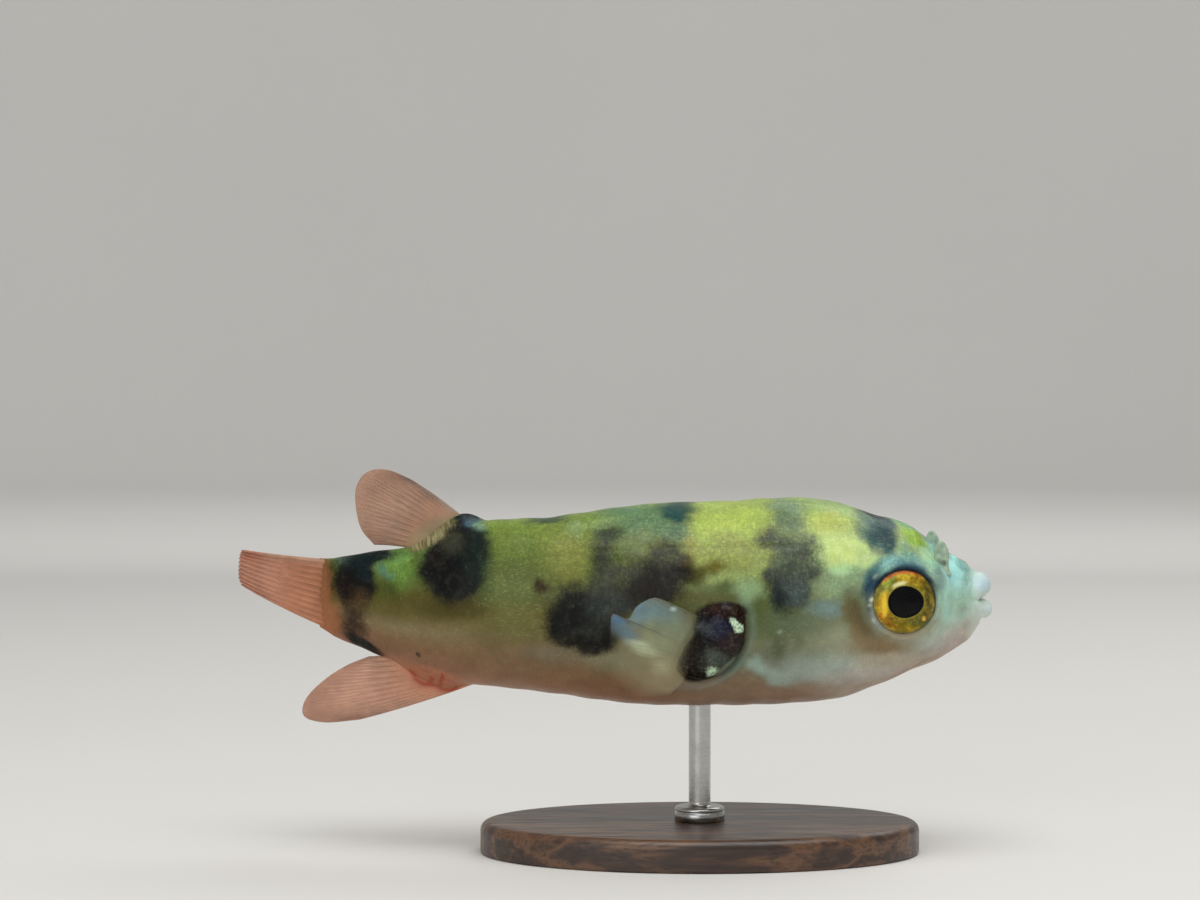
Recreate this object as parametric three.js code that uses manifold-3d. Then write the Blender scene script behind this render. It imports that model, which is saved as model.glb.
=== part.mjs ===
// A banded freshwater pufferfish, swimming, as a still life-size model on a small display stand.
// Millimetres. +X points to the snout, +Y to the fish's left side and +Z up.
// The origin is the middle of the base's underside, straight below the rod.

import * as THREE from "three";
import { mergeVertices } from "three/addons/utils/BufferGeometryUtils.js";
import Module from "manifold-3d";

const wasm = await Module();
wasm.setup();

// ---------- Driving dimensions ----------

const GAP = 0.3; // space kept between neighbouring pieces
const AXIS_HEIGHT = 25.5; // the body's axis above the underside of the base
const TAIL_ROOT = -37.2; // where the caudal fin grows from the tail
const HEAD_FRONT = 28.2; // front of the head behind the lips
const HEAD_BLUNT = 26.4; // from here the head rounds off to its front
const GILL_CUT = 4.9; // head and trunk part here, just ahead of the gill openings
const VENT_CUT = -22.3; // trunk and tail part here, just ahead of the anal fin

// Stations of the body: [x, back above the axis, belly below the axis, half width].
const STATIONS = [
  [-37.2, 3.8, 4.1, 0.85],
  [-34.0, 4.4, 5.35, 1.85],
  [-29.0, 5.15, 7.15, 3.3],
  [-25.5, 6.4, 8.35, 4.3],
  [-21.5, 7.7, 8.8, 5.4],
  [-15.0, 8.15, 9.45, 7.1],
  [-6.0, 9.4, 10.5, 8.9],
  [3.0, 9.8, 10.6, 9.6],
  [10.0, 10.1, 10.35, 9.4],
  [14.0, 9.6, 9.85, 8.95],
  [18.0, 8.1, 8.45, 8.1],
  [21.0, 7.3, 7.15, 7.1],
  [22.4, 6.3, 6.6, 6.2],
  [24.0, 5.2, 5.9, 5.15],
  [26.4, 3.78, 4.4, 3.1],
  [28.2, 2.9, 3.0, 2.3],
];
const WIDEST_LEVEL = 0.48; // height of the widest level, as a share of the depth from the belly up
const SQUARENESS = 2.2; // exponent of the rounded cross-section, 2 being an ellipse
const BROW = { x: 18.7, rise: 0.25, spread: 1.5 }; // the skull's low swelling between the eyes

// The tail swings to the left: the heading turns evenly along the body, and faster along the fin.
const SWING_START = -5;
const BODY_SWING = THREE.MathUtils.degToRad(12.5);
const FIN_SWING = THREE.MathUtils.degToRad(30);
const CAUDAL_LENGTH = 11.6;

const EYE = { x: 19.45, y: 5.8, z: 25.8, radius: 4.0, depth: 2.9, forward: 11 };
const UPPER_LIP = { x: 27.85, z: 27.05, back: 1.7, drop: -0.75, half: 2.35, tall: 1.2, thick: 1.25 };
const LOWER_LIP = { x: 28.25, z: 24.55, back: 2.15, drop: 0.6, half: 2.25, tall: 0.95, thick: 1.0 };
const NASAL_FLAP = { foot: [23.95, 4.1, 28.3], top: [23.6, 4.4, 32.1], wide: 0.58, thick: 0.3 };
const FIN_LOBE = { x: 1.15, y: 8.75, z: 21.75, long: 4.15, wide: 2.25, deep: 1.35, lean: 34 };
const GILL_SLIT = { shift: [0.6, 0.3], grow: 1.0, deepen: 0.55 };
const DORSAL_LUMP = { rear: -29.6, front: -21.4, peak: 0.64, rise: 1.5, thick: 0.85, root: 0.8 };
const ANAL_LUMP = { rear: -31.0, front: -22.6, peak: 0.5, rise: 0.95, thick: 0.8, root: 0.8 };

// Fins: the line that the rays grow from and the line of their tips, both as [x, z],
// taken from the leading ray to the last one.
const DORSAL_FIN = {
  roots: [[-24.2, 33.9], [-26.4, 32.7], [-29.3, 30.4]],
  tips: [
    [-29.2, 37.4], [-31.6, 38.3], [-33.6, 38.1], [-34.7, 36.7], [-34.8, 34.6], [-34.3, 32.3],
    [-33.0, 30.7],
  ],
  thick: 0.6,
};
const ANAL_FIN = {
  roots: [[-23.4, 16.6], [-26.8, 17.2], [-31.2, 19.7]],
  tips: [
    [-34.6, 12.95], [-38.2, 12.6], [-40.4, 13.2], [-40.2, 14.9], [-38.4, 16.8], [-36.0, 18.4],
    [-33.6, 19.4],
  ],
  thick: 0.6,
};
const CAUDAL_FIN = {
  roots: [[-36.4, 29.1], [-36.4, 25.3], [-36.4, 21.6]],
  tips: [[-48.3, 29.85], [-48.8, 29.2], [-48.9, 28.1], [-48.7, 27.0], [-48.1, 26.1]],
  thick: 0.9,
};
const EDGE_THINNING = 0.35; // share of a fin's thickness that it loses from root to tips
const PECTORAL_FIN = {
  roots: [[-0.3, 24.5], [-1.3, 22.0], [-2.0, 20.0], [-1.7, 18.4]],
  tips: [
    [-2.8, 25.8], [-4.7, 26.5], [-6.4, 25.7], [-7.3, 24.5], [-8.8, 24.9],
    [-9.0, 22.9], [-9.2, 20.6], [-8.2, 18.3], [-6.1, 17.0], [-3.2, 17.0],
  ],
  thick: 0.55,
  rootSide: 9.2, // distance of the root from the middle of the body
  flare: 3.1, // how much further out the tips stand
};

const BASE = { length: 44, width: 28, height: 3.2, bevel: 0.7 };
const ROD = { radius: 1.1, top: 17.2, foot: 2.5, footHeight: 1.5, chamfer: 0.45 };

// ---------- Materials ----------

function paint(colour, roughness, metalness = 0) {
  return new THREE.MeshStandardMaterial({ color: colour, roughness, metalness });
}

const skinYellow = paint(0x9fa856, 0.4);
const skinGreen = paint(0x74854a, 0.4);
const skinPale = paint(0x9fae98, 0.4);
const skinDark = paint(0x2c2a28, 0.4);
const lipWhite = paint(0xb9d2d0, 0.35);
const finTan = paint(0xa8785f, 0.5);
const irisGold = paint(0xb4952e, 0.2);
const walnut = paint(0x3a2a20, 0.5);
const steel = paint(0xb5b5b3, 0.3, 1);

// ---------- Solids from geometry ----------

// A geometry as a manifold solid, its faces turned outwards.
function solidFrom(geometry) {
  const bare = geometry.clone();
  bare.deleteAttribute("normal");
  bare.deleteAttribute("uv");
  const merged = mergeVertices(bare, 1e-4);
  const corners = merged.index.array;
  const kept = [];
  for (let i = 0; i < corners.length; i += 3) {
    const [a, b, c] = [corners[i], corners[i + 1], corners[i + 2]];
    if (a !== b && b !== c && c !== a) kept.push(a, b, c);
  }
  const vertProperties = merged.attributes.position.array;
  const make = (list) =>
    new wasm.Manifold(
      new wasm.Mesh({ numProp: 3, vertProperties, triVerts: new Uint32Array(list) }),
    );
  const made = make(kept);
  return made.volume() < 0 ? make(kept.reverse()) : made;
}

function geometryFrom(solid) {
  const mesh = solid.getMesh();
  const places = new Float32Array(mesh.numVert * 3);
  for (let i = 0; i < mesh.numVert; i++) {
    const from = i * mesh.numProp;
    places.set(mesh.vertProperties.subarray(from, from + 3), i * 3);
  }
  const geometry = new THREE.BufferGeometry();
  geometry.setAttribute("position", new THREE.BufferAttribute(places, 3));
  geometry.setIndex(new THREE.BufferAttribute(new Uint32Array(mesh.triVerts), 1));
  geometry.computeVertexNormals();
  return geometry;
}

// A closed form wrapped on a sphere: pointAt(along, angle) places each of its vertices,
// with along running from one pole (0) to the other (1).
function wrapped(alongCount, aroundCount, pointAt) {
  const sphere = new THREE.SphereGeometry(1, aroundCount, alongCount);
  const { position, uv } = sphere.attributes;
  for (let i = 0; i < position.count; i++) {
    const point = pointAt(uv.getY(i), (uv.getX(i) % 1) * 2 * Math.PI);
    position.setXYZ(i, point.x, point.y, point.z);
  }
  return solidFrom(sphere);
}

// A thin closed plate: pointAt(across, outward, side) places each vertex of a flat box,
// with across and outward from 0 to 1 and side -1 or 1.
function plated(acrossCount, outwardCount, pointAt) {
  const box = new THREE.BoxGeometry(1, 1, 1, acrossCount, outwardCount, 1);
  const { position } = box.attributes;
  for (let i = 0; i < position.count; i++) {
    const side = Math.sign(position.getZ(i));
    const point = pointAt(position.getX(i) + 0.5, position.getY(i) + 0.5, side);
    position.setXYZ(i, point.x, point.y, point.z);
  }
  return solidFrom(box);
}

function block(low, high) {
  const size = new THREE.Vector3().subVectors(high, low);
  const box = new THREE.BoxGeometry(size.x, size.y, size.z);
  box.translate(...new THREE.Vector3().addVectors(low, high).multiplyScalar(0.5));
  return solidFrom(box);
}

// ---------- The body ----------

// Value of one column of STATIONS at x: cubics whose slopes come from the stations on either side.
function station(x, column) {
  const last = STATIONS.length - 1;
  let i = 0;
  while (i < last - 1 && STATIONS[i + 1][0] < x) i++;
  const slope = (k) => {
    const [before, after] = [STATIONS[Math.max(k - 1, 0)], STATIONS[Math.min(k + 1, last)]];
    return (after[column] - before[column]) / (after[0] - before[0]);
  };
  const [from, to] = [STATIONS[i], STATIONS[i + 1]];
  const span = to[0] - from[0];
  const t = THREE.MathUtils.clamp((x - from[0]) / span, 0, 1);
  const [t2, t3] = [t * t, t * t * t];
  return (
    (2 * t3 - 3 * t2 + 1) * from[column] +
    (t3 - 2 * t2 + t) * span * slope(i) +
    (3 * t2 - 2 * t3) * to[column] +
    (t3 - t2) * span * slope(i + 1)
  );
}

function backAt(x) {
  return station(x, 1) + BROW.rise * Math.exp(-(((x - BROW.x) / BROW.spread) ** 2));
}

function bellyAt(x) {
  return station(x, 2);
}

// Point of the straight body's surface: angle 0 is the back, a quarter turn the left side.
// The section is |y/w|^n + |z/h|^n = 1, in polar form about the widest level.
function bodyPoint(x, angle) {
  const back = backAt(x);
  const belly = bellyAt(x);
  const level = WIDEST_LEVEL * (back + belly) - belly;
  const blunt = THREE.MathUtils.clamp((x - HEAD_BLUNT) / (HEAD_FRONT - HEAD_BLUNT), 0, 1);
  const taper = Math.sqrt(1 - blunt * blunt);
  const [side, up] = [Math.sin(angle), Math.cos(angle)];
  const half = station(x, 3) * taper;
  const height = (up > 0 ? back - level : belly + level) * taper;
  const reach =
    ((Math.abs(side) / half) ** SQUARENESS + (Math.abs(up) / height) ** SQUARENESS) **
    (-1 / SQUARENESS);
  return new THREE.Vector3(x, reach * side, AXIS_HEIGHT + level + reach * up);
}

// Moves a point of the straight fish to where the swinging tail carries it.
function swung(point) {
  const bodyRun = SWING_START - TAIL_ROOT;
  const run = SWING_START - point.x;
  if (run <= 0) return point;
  const bodyRadius = bodyRun / BODY_SWING;
  const bodyTurn = Math.min(run / bodyRun, 1) * BODY_SWING;
  let x = SWING_START - bodyRadius * Math.sin(bodyTurn);
  let y = bodyRadius * (1 - Math.cos(bodyTurn));
  let turn = bodyTurn;
  if (run > bodyRun) {
    const finRadius = CAUDAL_LENGTH / FIN_SWING;
    turn = bodyTurn + ((run - bodyRun) / CAUDAL_LENGTH) * FIN_SWING;
    x -= finRadius * (Math.sin(turn) - Math.sin(bodyTurn));
    y += finRadius * (Math.cos(bodyTurn) - Math.cos(turn));
  }
  return new THREE.Vector3(
    x + point.y * Math.sin(turn),
    y + point.y * Math.cos(turn),
    point.z,
  );
}

function wholeBody() {
  const middle = (x) => AXIS_HEIGHT + (backAt(x) - bellyAt(x)) / 2;
  return wrapped(42, 28, (along, angle) => {
    const x = TAIL_ROOT + (HEAD_FRONT - TAIL_ROOT) * Math.sin((along * Math.PI) / 2);
    if (along === 0 || along === 1) return swung(new THREE.Vector3(x, 0, middle(x)));
    return swung(bodyPoint(x, angle));
  });
}

// The fleshy ridge that a fin's rays grow from, along the back (way 1) or the belly (way -1).
function finLump(lump, way) {
  return wrapped(12, 10, (along, angle) => {
    const x = lump.rear + (lump.front - lump.rear) * along;
    const skewed = along ** (Math.log(0.5) / Math.log(lump.peak));
    const swell = Math.sin(Math.PI * skewed) ** 1.2;
    const edge = way > 0 ? backAt(x) : bellyAt(x);
    const [low, high] = [edge - lump.root * swell, edge + lump.rise * swell];
    const reach = (low + high) / 2 + ((high - low) / 2) * Math.cos(angle);
    const side = lump.thick * Math.sqrt(swell) * Math.sin(angle);
    return swung(new THREE.Vector3(x, side, AXIS_HEIGHT + way * reach));
  });
}

// ---------- The head's pieces ----------

// An oblate eyeball whose axis points sideways (1 is left, -1 right) and a little forward.
function eyeball(side, grow = 0) {
  const ball = new THREE.SphereGeometry(1, 18, 10);
  ball.scale(EYE.radius + grow, EYE.depth + grow, EYE.radius + grow);
  ball.rotateZ(-side * THREE.MathUtils.degToRad(EYE.forward));
  ball.translate(EYE.x, side * EYE.y, EYE.z);
  return solidFrom(ball);
}

// A lip: a roll that wraps the front of the snout and tapers to the corners of the mouth.
function lip(shape, grow = 0) {
  return wrapped(14, 8, (along, angle) => {
    const across = 2 * along - 1;
    const full = Math.sqrt(1 - across ** 4);
    const sizes = [shape.thick * full + grow, shape.tall * full + grow];
    const ends = 1 + grow / shape.half;
    return new THREE.Vector3(
      shape.x - shape.back * across ** 2 + sizes[0] * Math.cos(angle) * Math.min(1, full * 3),
      shape.half * across * ends,
      shape.z + shape.drop * across ** 2 + sizes[1] * Math.sin(angle) * Math.min(1, full * 3),
    );
  });
}

// The upright flap that carries the two openings of a nostril.
function nasalFlap(side, grow = 0) {
  const foot = new THREE.Vector3(...NASAL_FLAP.foot);
  const top = new THREE.Vector3(...NASAL_FLAP.top);
  return wrapped(8, 8, (along, angle) => {
    const round = Math.sqrt(1 - (2 * along - 1) ** 4);
    const middle = foot.clone().lerp(top, along + (grow / 4) * (2 * along - 1));
    const wide = (NASAL_FLAP.wide + grow) * round * (1 + 0.25 * along);
    const thick = (NASAL_FLAP.thick + grow) * round;
    return new THREE.Vector3(
      middle.x + wide * Math.cos(angle),
      side * (middle.y + thick * Math.sin(angle)),
      middle.z,
    );
  });
}

// ---------- The pectoral fins' fleshy lobes ----------

function lobeForm(side, { shift = [0, 0], grow = 0, deepen = 0 }) {
  const form = new THREE.SphereGeometry(1, 12, 9);
  form.scale(FIN_LOBE.wide + grow, FIN_LOBE.deep + deepen, FIN_LOBE.long + grow);
  form.rotateY(THREE.MathUtils.degToRad(FIN_LOBE.lean));
  form.translate(FIN_LOBE.x + shift[0], side * FIN_LOBE.y, FIN_LOBE.z + shift[1]);
  return solidFrom(form);
}

// ---------- The fins ----------

function curveThrough(points) {
  return new THREE.CatmullRomCurve3(
    points.map(([x, z]) => new THREE.Vector3(x, 0, z)),
    false,
    "catmullrom",
    0.5,
  );
}

// A fin as a plate: each ray runs straight from the root line to the tip line, and sideAt gives
// how far to the left the fin stands. grow widens it all round, for the slot that it sits in.
function finPlate(fin, counts, sideAt, grow) {
  const [roots, tips] = [curveThrough(fin.roots), curveThrough(fin.tips)];
  return plated(counts[0], counts[1], (across, outward, face) => {
    const root = roots.getPoint(across);
    const tip = tips.getPoint(across);
    const u = outward - (1 - outward) * (grow / root.distanceTo(tip));
    const place = root.clone().lerp(tip, u);
    const half = (fin.thick / 2) * (1 - EDGE_THINNING * Math.max(u, 0));
    place.x += (1 - 2 * across) * grow;
    place.y = sideAt(Math.max(u, 0), across) + face * (half + grow);
    return swung(place);
  });
}

function midlineFin(fin, counts, grow) {
  return finPlate(fin, counts, () => 0, grow);
}

function pectoralFin(side, grow = 0) {
  const spread = (u, v) => PECTORAL_FIN.flare * u ** 0.85 * (1 - 0.35 * (2 * v - 1) ** 2);
  const sideAt = (u, v) => side * (PECTORAL_FIN.rootSide + spread(u, v));
  return finPlate(PECTORAL_FIN, [18, 4], sideAt, grow);
}

// ---------- The stand ----------

// An oval plate with rounded edges.
function standBase() {
  const outline = new THREE.Shape();
  const [a, b] = [BASE.length / 2 - BASE.bevel, BASE.width / 2 - BASE.bevel];
  outline.absellipse(0, 0, a, b, 0, 2 * Math.PI);
  const plate = new THREE.ExtrudeGeometry(outline, {
    depth: BASE.height - 2 * BASE.bevel,
    bevelThickness: BASE.bevel,
    bevelSize: BASE.bevel,
    bevelSegments: 2,
    curveSegments: 20,
  });
  plate.translate(0, 0, BASE.bevel);
  return solidFrom(plate);
}

// A round rod that stands on a wider turned foot.
function standRod() {
  const { radius, top, foot, footHeight, chamfer } = ROD;
  const [low, high] = [BASE.height, BASE.height + footHeight];
  return turned([
    [0, low], [foot, low], [foot, high - chamfer], [foot - chamfer, high],
    [radius, high], [radius, top], [0, top],
  ]);
}

// The hole in the belly that the rod's end sits in.
function rodSocket() {
  const [radius, top] = [ROD.radius + GAP, ROD.top + GAP];
  return turned([[0, BASE.height], [radius, BASE.height], [radius, top], [0, top]]);
}

function turned(profile) {
  const lathe = new THREE.LatheGeometry(
    profile.map(([radius, height]) => new THREE.Vector2(radius, height)),
    20,
  );
  lathe.rotateX(Math.PI / 2);
  return solidFrom(lathe);
}

// ---------- Assembly ----------

const sides = { left: 1, right: -1 };
const fish = new THREE.Group();

function add(name, solid, material) {
  const mesh = new THREE.Mesh(geometryFrom(solid), material);
  mesh.name = name;
  fish.add(mesh);
}

const dorsalFin = (grow) => midlineFin(DORSAL_FIN, [10, 4], grow);
const analFin = (grow) => midlineFin(ANAL_FIN, [10, 4], grow);
const caudalFin = (grow) => midlineFin(CAUDAL_FIN, [8, 8], grow);

let body = wholeBody().add(finLump(DORSAL_LUMP, 1)).add(finLump(ANAL_LUMP, -1));
for (const cut of [dorsalFin(GAP), analFin(GAP), caudalFin(GAP), rodSocket()]) {
  body = body.subtract(cut);
}
for (const lipShape of [UPPER_LIP, LOWER_LIP]) {
  body = body.subtract(lip(lipShape, GAP));
}
for (const side of Object.values(sides)) {
  body = body
    .subtract(eyeball(side, GAP))
    .subtract(nasalFlap(side, GAP))
    .subtract(lobeForm(side, GILL_SLIT))
    .subtract(pectoralFin(side, GAP));
}

const FAR = 60;
const lengthOf = (from, to) =>
  block(new THREE.Vector3(from, -FAR, -FAR), new THREE.Vector3(to, FAR, FAR));
add("head", body.intersect(lengthOf(GILL_CUT + GAP / 2, FAR)), skinPale);
add("trunk", body.intersect(lengthOf(VENT_CUT + GAP / 2, GILL_CUT - GAP / 2)), skinYellow);
add("tail", body.intersect(lengthOf(-FAR, VENT_CUT - GAP / 2)), skinGreen);

add("upper_lip", lip(UPPER_LIP), lipWhite);
add("lower_lip", lip(LOWER_LIP), lipWhite);
for (const [name, side] of Object.entries(sides)) {
  add(`eye_${name}`, eyeball(side), irisGold);
  add(`nasal_flap_${name}`, nasalFlap(side), skinPale);
  add(`pectoral_base_${name}`, lobeForm(side, {}).subtract(pectoralFin(side, GAP)), skinDark);
  add(`pectoral_fin_${name}`, pectoralFin(side), finTan);
}
add("dorsal_fin", dorsalFin(0), finTan);
add("anal_fin", analFin(0), finTan);
add("caudal_fin", caudalFin(0), finTan);

add("stand_base", standBase(), walnut);
add("stand_rod", standRod(), steel);

export default fish;
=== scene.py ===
"""The looks of a banded freshwater pufferfish, a still life-size model on a small display stand.

All sizes are in millimetres in the shared frame (+X to the snout, +Y to the fish's left, +Z up)
and turn into metres only where a mesh is made. The straight fish is shaped and marked first;
swung() then carries it to where the tail swings.
"""
import math

import bpy
import numpy as np
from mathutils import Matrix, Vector


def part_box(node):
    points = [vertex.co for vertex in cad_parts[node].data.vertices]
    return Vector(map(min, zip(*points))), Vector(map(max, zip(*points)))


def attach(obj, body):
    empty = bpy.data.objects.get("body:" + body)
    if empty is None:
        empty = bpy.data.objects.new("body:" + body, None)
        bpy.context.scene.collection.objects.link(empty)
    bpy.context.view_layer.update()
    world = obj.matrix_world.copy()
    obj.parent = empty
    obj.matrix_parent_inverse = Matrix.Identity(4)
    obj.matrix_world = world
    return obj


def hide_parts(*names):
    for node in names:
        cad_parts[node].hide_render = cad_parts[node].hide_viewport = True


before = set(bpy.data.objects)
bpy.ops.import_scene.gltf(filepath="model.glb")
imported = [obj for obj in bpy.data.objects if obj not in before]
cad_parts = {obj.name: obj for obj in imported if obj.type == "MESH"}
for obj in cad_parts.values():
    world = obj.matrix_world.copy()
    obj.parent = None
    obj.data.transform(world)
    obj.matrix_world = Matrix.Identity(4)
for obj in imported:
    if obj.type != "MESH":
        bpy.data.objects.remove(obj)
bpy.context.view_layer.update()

MM = 0.001
SIDES = (("left", 1), ("right", -1))

# ---------- Driving sizes, the same as the solids' ----------

AXIS_HEIGHT = 25.5
TAIL_ROOT = -37.2
# Stations of the body: x, back above the axis, belly below the axis, half width.
STATIONS = np.array([
    [-37.2, 3.8, 4.1, 0.85], [-34.0, 4.4, 5.35, 1.85], [-29.0, 5.15, 7.15, 3.3],
    [-25.5, 6.4, 8.35, 4.3], [-21.5, 7.7, 8.8, 5.4], [-15.0, 8.15, 9.45, 7.1],
    [-6.0, 9.4, 10.5, 8.9], [3.0, 9.8, 10.6, 9.6], [10.0, 10.1, 10.35, 9.4],
    [14.0, 9.6, 9.85, 8.95], [18.0, 8.1, 8.45, 8.1], [21.0, 7.3, 7.15, 7.1],
    [22.4, 6.3, 6.6, 6.2], [24.0, 5.2, 5.9, 5.15], [26.4, 3.78, 4.4, 3.1], [28.2, 2.9, 3.0, 2.3],
])
# How high the body is widest, as a share of its height, and the power of its rounded section.
WIDEST_LEVEL = 0.48
SQUARENESS = 2.2
# The skull's swelling between the eyes.
BROW = {"x": 18.7, "rise": 0.25, "spread": 1.5}
# Where the tail's swing starts, and how far the body and then the tail fin turn.
SWING_START = -5.0
BODY_SWING = math.radians(12.5)
FIN_SWING = math.radians(30)
CAUDAL_LENGTH = 11.6
EYE_FORWARD = math.radians(11)
# The fleshy lobe that carries each pectoral fin.
LOBE = {"x": 1.15, "z": 21.75, "wide": 2.25, "long": 4.15, "lean": math.radians(34)}
# The ridges of flesh under the dorsal and anal fins.
DORSAL_LUMP = {"rear": -29.6, "front": -21.4, "peak": 0.64, "rise": 1.5, "way": 1}
ANAL_LUMP = {"rear": -31.0, "front": -22.6, "peak": 0.5, "rise": 0.95, "way": -1}

# Fins: where the rays grow from and where they end, as x and z, from the leading ray to the last.
DORSAL_FIN = {
    "roots": [(-24.2, 33.9), (-26.4, 32.7), (-29.3, 30.4)],
    "tips": [(-29.2, 37.4), (-31.6, 38.3), (-33.6, 38.1), (-34.7, 36.7), (-34.8, 34.6), (-34.3, 32.3),
             (-33.0, 30.7)],
}
ANAL_FIN = {
    "roots": [(-23.4, 16.6), (-26.8, 17.2), (-31.2, 19.7)],
    "tips": [(-34.6, 12.95), (-38.2, 12.6), (-40.4, 13.2), (-40.2, 14.9), (-38.4, 16.8), (-36.0, 18.4),
             (-33.6, 19.4)],
}
CAUDAL_FIN = {
    "roots": [(-36.4, 29.1), (-36.4, 25.3), (-36.4, 21.6)],
    "tips": [(-48.3, 29.85), (-48.8, 29.2), (-48.9, 28.1), (-48.7, 27.0), (-48.1, 26.1)],
}
PECTORAL_FIN = {
    "roots": [(-0.3, 24.5), (-1.3, 22.0), (-2.0, 20.0), (-1.7, 18.4)],
    "tips": [(-2.8, 25.8), (-4.7, 26.5), (-6.4, 25.7), (-7.3, 24.5), (-8.8, 24.9),
             (-9.0, 22.9), (-9.2, 20.6), (-8.2, 18.3), (-6.1, 17.0), (-3.2, 17.0)],
}
# How far from the midline the pectoral fins start, and how far out they stand.
PECTORAL_ROOT_SIDE = 9.2
PECTORAL_FLARE = 3.1


def box_mm(node):
    """Lowest corner, highest corner and middle of a solid, in millimetres."""
    low, high = (np.array(corner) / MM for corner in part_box(node))
    return low, high, (low + high) / 2


# ---------- Small formulas ----------

def bell(value, middle, width):
    """A smooth hump: e to the power of minus the square of (value - middle) / width."""
    return np.exp(-(((value - middle) / width) ** 2))


def ease(value, start, end):
    """From 0 at start to 1 at end along a soft S: t squared times (3 - 2 t)."""
    t = np.clip((value - start) / (end - start), 0, 1)
    return t * t * (3 - 2 * t)


def tone(red, green, blue):
    """A screen colour from 0 to 255 as three shares of linear light."""
    share = np.array([red, green, blue]) / 255
    return np.where(share <= 0.04045, share / 12.92, ((share + 0.055) / 1.055) ** 2.4)


def graded(share, stops):
    """Colours along a row of (place, colour) stops, in linear light."""
    places = [at for at, _ in stops]
    tones = np.array([tone(*shade) for _, shade in stops])
    return np.stack([np.interp(share, places, tones[:, k]) for k in range(3)], -1)


def washed(paint, shade, cover):
    """Paint over paint: every point moves towards one colour by its own cover."""
    return paint + np.asarray(cover)[..., None] * (tone(*shade) - paint)


def layered(paint, layers):
    """Washes of (colour, cover) laid over the paint in turn."""
    for shade, cover in layers:
        paint = washed(paint, shade, cover)
    return paint


def spaced(low, high, count, crowding):
    """Values from low to high, closest where crowding is greatest: its running sum, inverted."""
    fine = np.linspace(low, high, 6000)
    run = np.cumsum(crowding(fine))
    return np.interp(np.linspace(run[0], run[-1], count), run, fine)


# Large odd numbers that scramble the place of a lattice's corner into 32 chance bits.
CORNER_KEYS = np.array([73856093, 19349663, 83492791])
SCRAMBLERS = ((15, 739982445), (12, 695872825))
ALL_BITS = 0xFFFFFFFF


def clouds(points, size, seed):
    """Smooth chance values from -1 to 1 that change over about size: a number at each corner of
    a lattice, hashed from its place, eased between the eight corners round a point."""
    spot = np.asarray(points) / size
    corner = np.floor(spot).astype(np.int64)
    share = spot - corner
    share = share * share * (3 - 2 * share)
    total = np.zeros(spot.shape[:-1])
    for step in np.ndindex(2, 2, 2):
        key = ((corner + step) @ CORNER_KEYS + seed) & ALL_BITS
        for shift, factor in SCRAMBLERS:
            key = ((key ^ (key >> shift)) * factor) & ALL_BITS
        weight = np.prod(np.where(step, share, 1 - share), -1)
        total += weight * ((key ^ (key >> 15)) / 2 ** 31 - 1)
    return total


def curve_through(points, t):
    """A curve through the points, t from 0 to 1: cubics whose slope at a point is half the way
    from the point before it to the one after it, the ends being mirrored outwards."""
    points = np.asarray(points, float)
    ends = (2 * points[:1] - points[1:2], 2 * points[-1:] - points[-2:-1])
    padded = np.concatenate([ends[0], points, ends[1]])
    spot = np.clip(t, 0, 1) * (len(points) - 1)
    index = np.minimum(spot.astype(int), len(points) - 2)
    f = (spot - index).reshape(spot.shape + (1,) * (points.ndim - 1))
    before, here, after, beyond = (padded[index + k] for k in range(4))
    return 0.5 * (
        2 * here + (after - before) * f
        + (2 * before - 5 * here + 4 * after - beyond) * f ** 2
        + (3 * here - before - 3 * after + beyond) * f ** 3
    )


def station(x, column):
    """One column of STATIONS at x: cubics with the slopes of the stations on either side."""
    xs, values = STATIONS[:, 0], STATIONS[:, column]
    before = np.maximum(np.arange(len(xs)) - 1, 0)
    after = np.minimum(np.arange(len(xs)) + 1, len(xs) - 1)
    slopes = (values[after] - values[before]) / (xs[after] - xs[before])
    i = np.clip(np.searchsorted(xs, x) - 1, 0, len(xs) - 2)
    span = xs[i + 1] - xs[i]
    t = np.clip((x - xs[i]) / span, 0, 1)
    return (
        (2 * t ** 3 - 3 * t ** 2 + 1) * values[i] + (t ** 3 - 2 * t ** 2 + t) * span * slopes[i]
        + (3 * t ** 2 - 2 * t ** 3) * values[i + 1] + (t ** 3 - t ** 2) * span * slopes[i + 1]
    )


def back_at(x):
    """Height of the back above the axis, with the skull's low swelling between the eyes."""
    return station(x, 1) + BROW["rise"] * bell(x, BROW["x"], BROW["spread"])


def section(x, angle):
    """The straight body's surface: |y/w|^n + |z/h|^n = 1 in polar form about the widest level,
    with angle 0 on the back and a quarter turn on the left side."""
    x, angle = np.broadcast_arrays(np.asarray(x, float), angle)
    back, belly, half = back_at(x), station(x, 2), station(x, 3)
    level = WIDEST_LEVEL * (back + belly) - belly
    side, up = np.sin(angle), np.cos(angle)
    height = np.where(up > 0, back - level, belly + level)
    powers = (np.abs(side) / half) ** SQUARENESS + (np.abs(up) / height) ** SQUARENESS
    reach = powers ** (-1 / SQUARENESS)
    return np.stack([x, reach * side, AXIS_HEIGHT + level + reach * up], -1)


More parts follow.
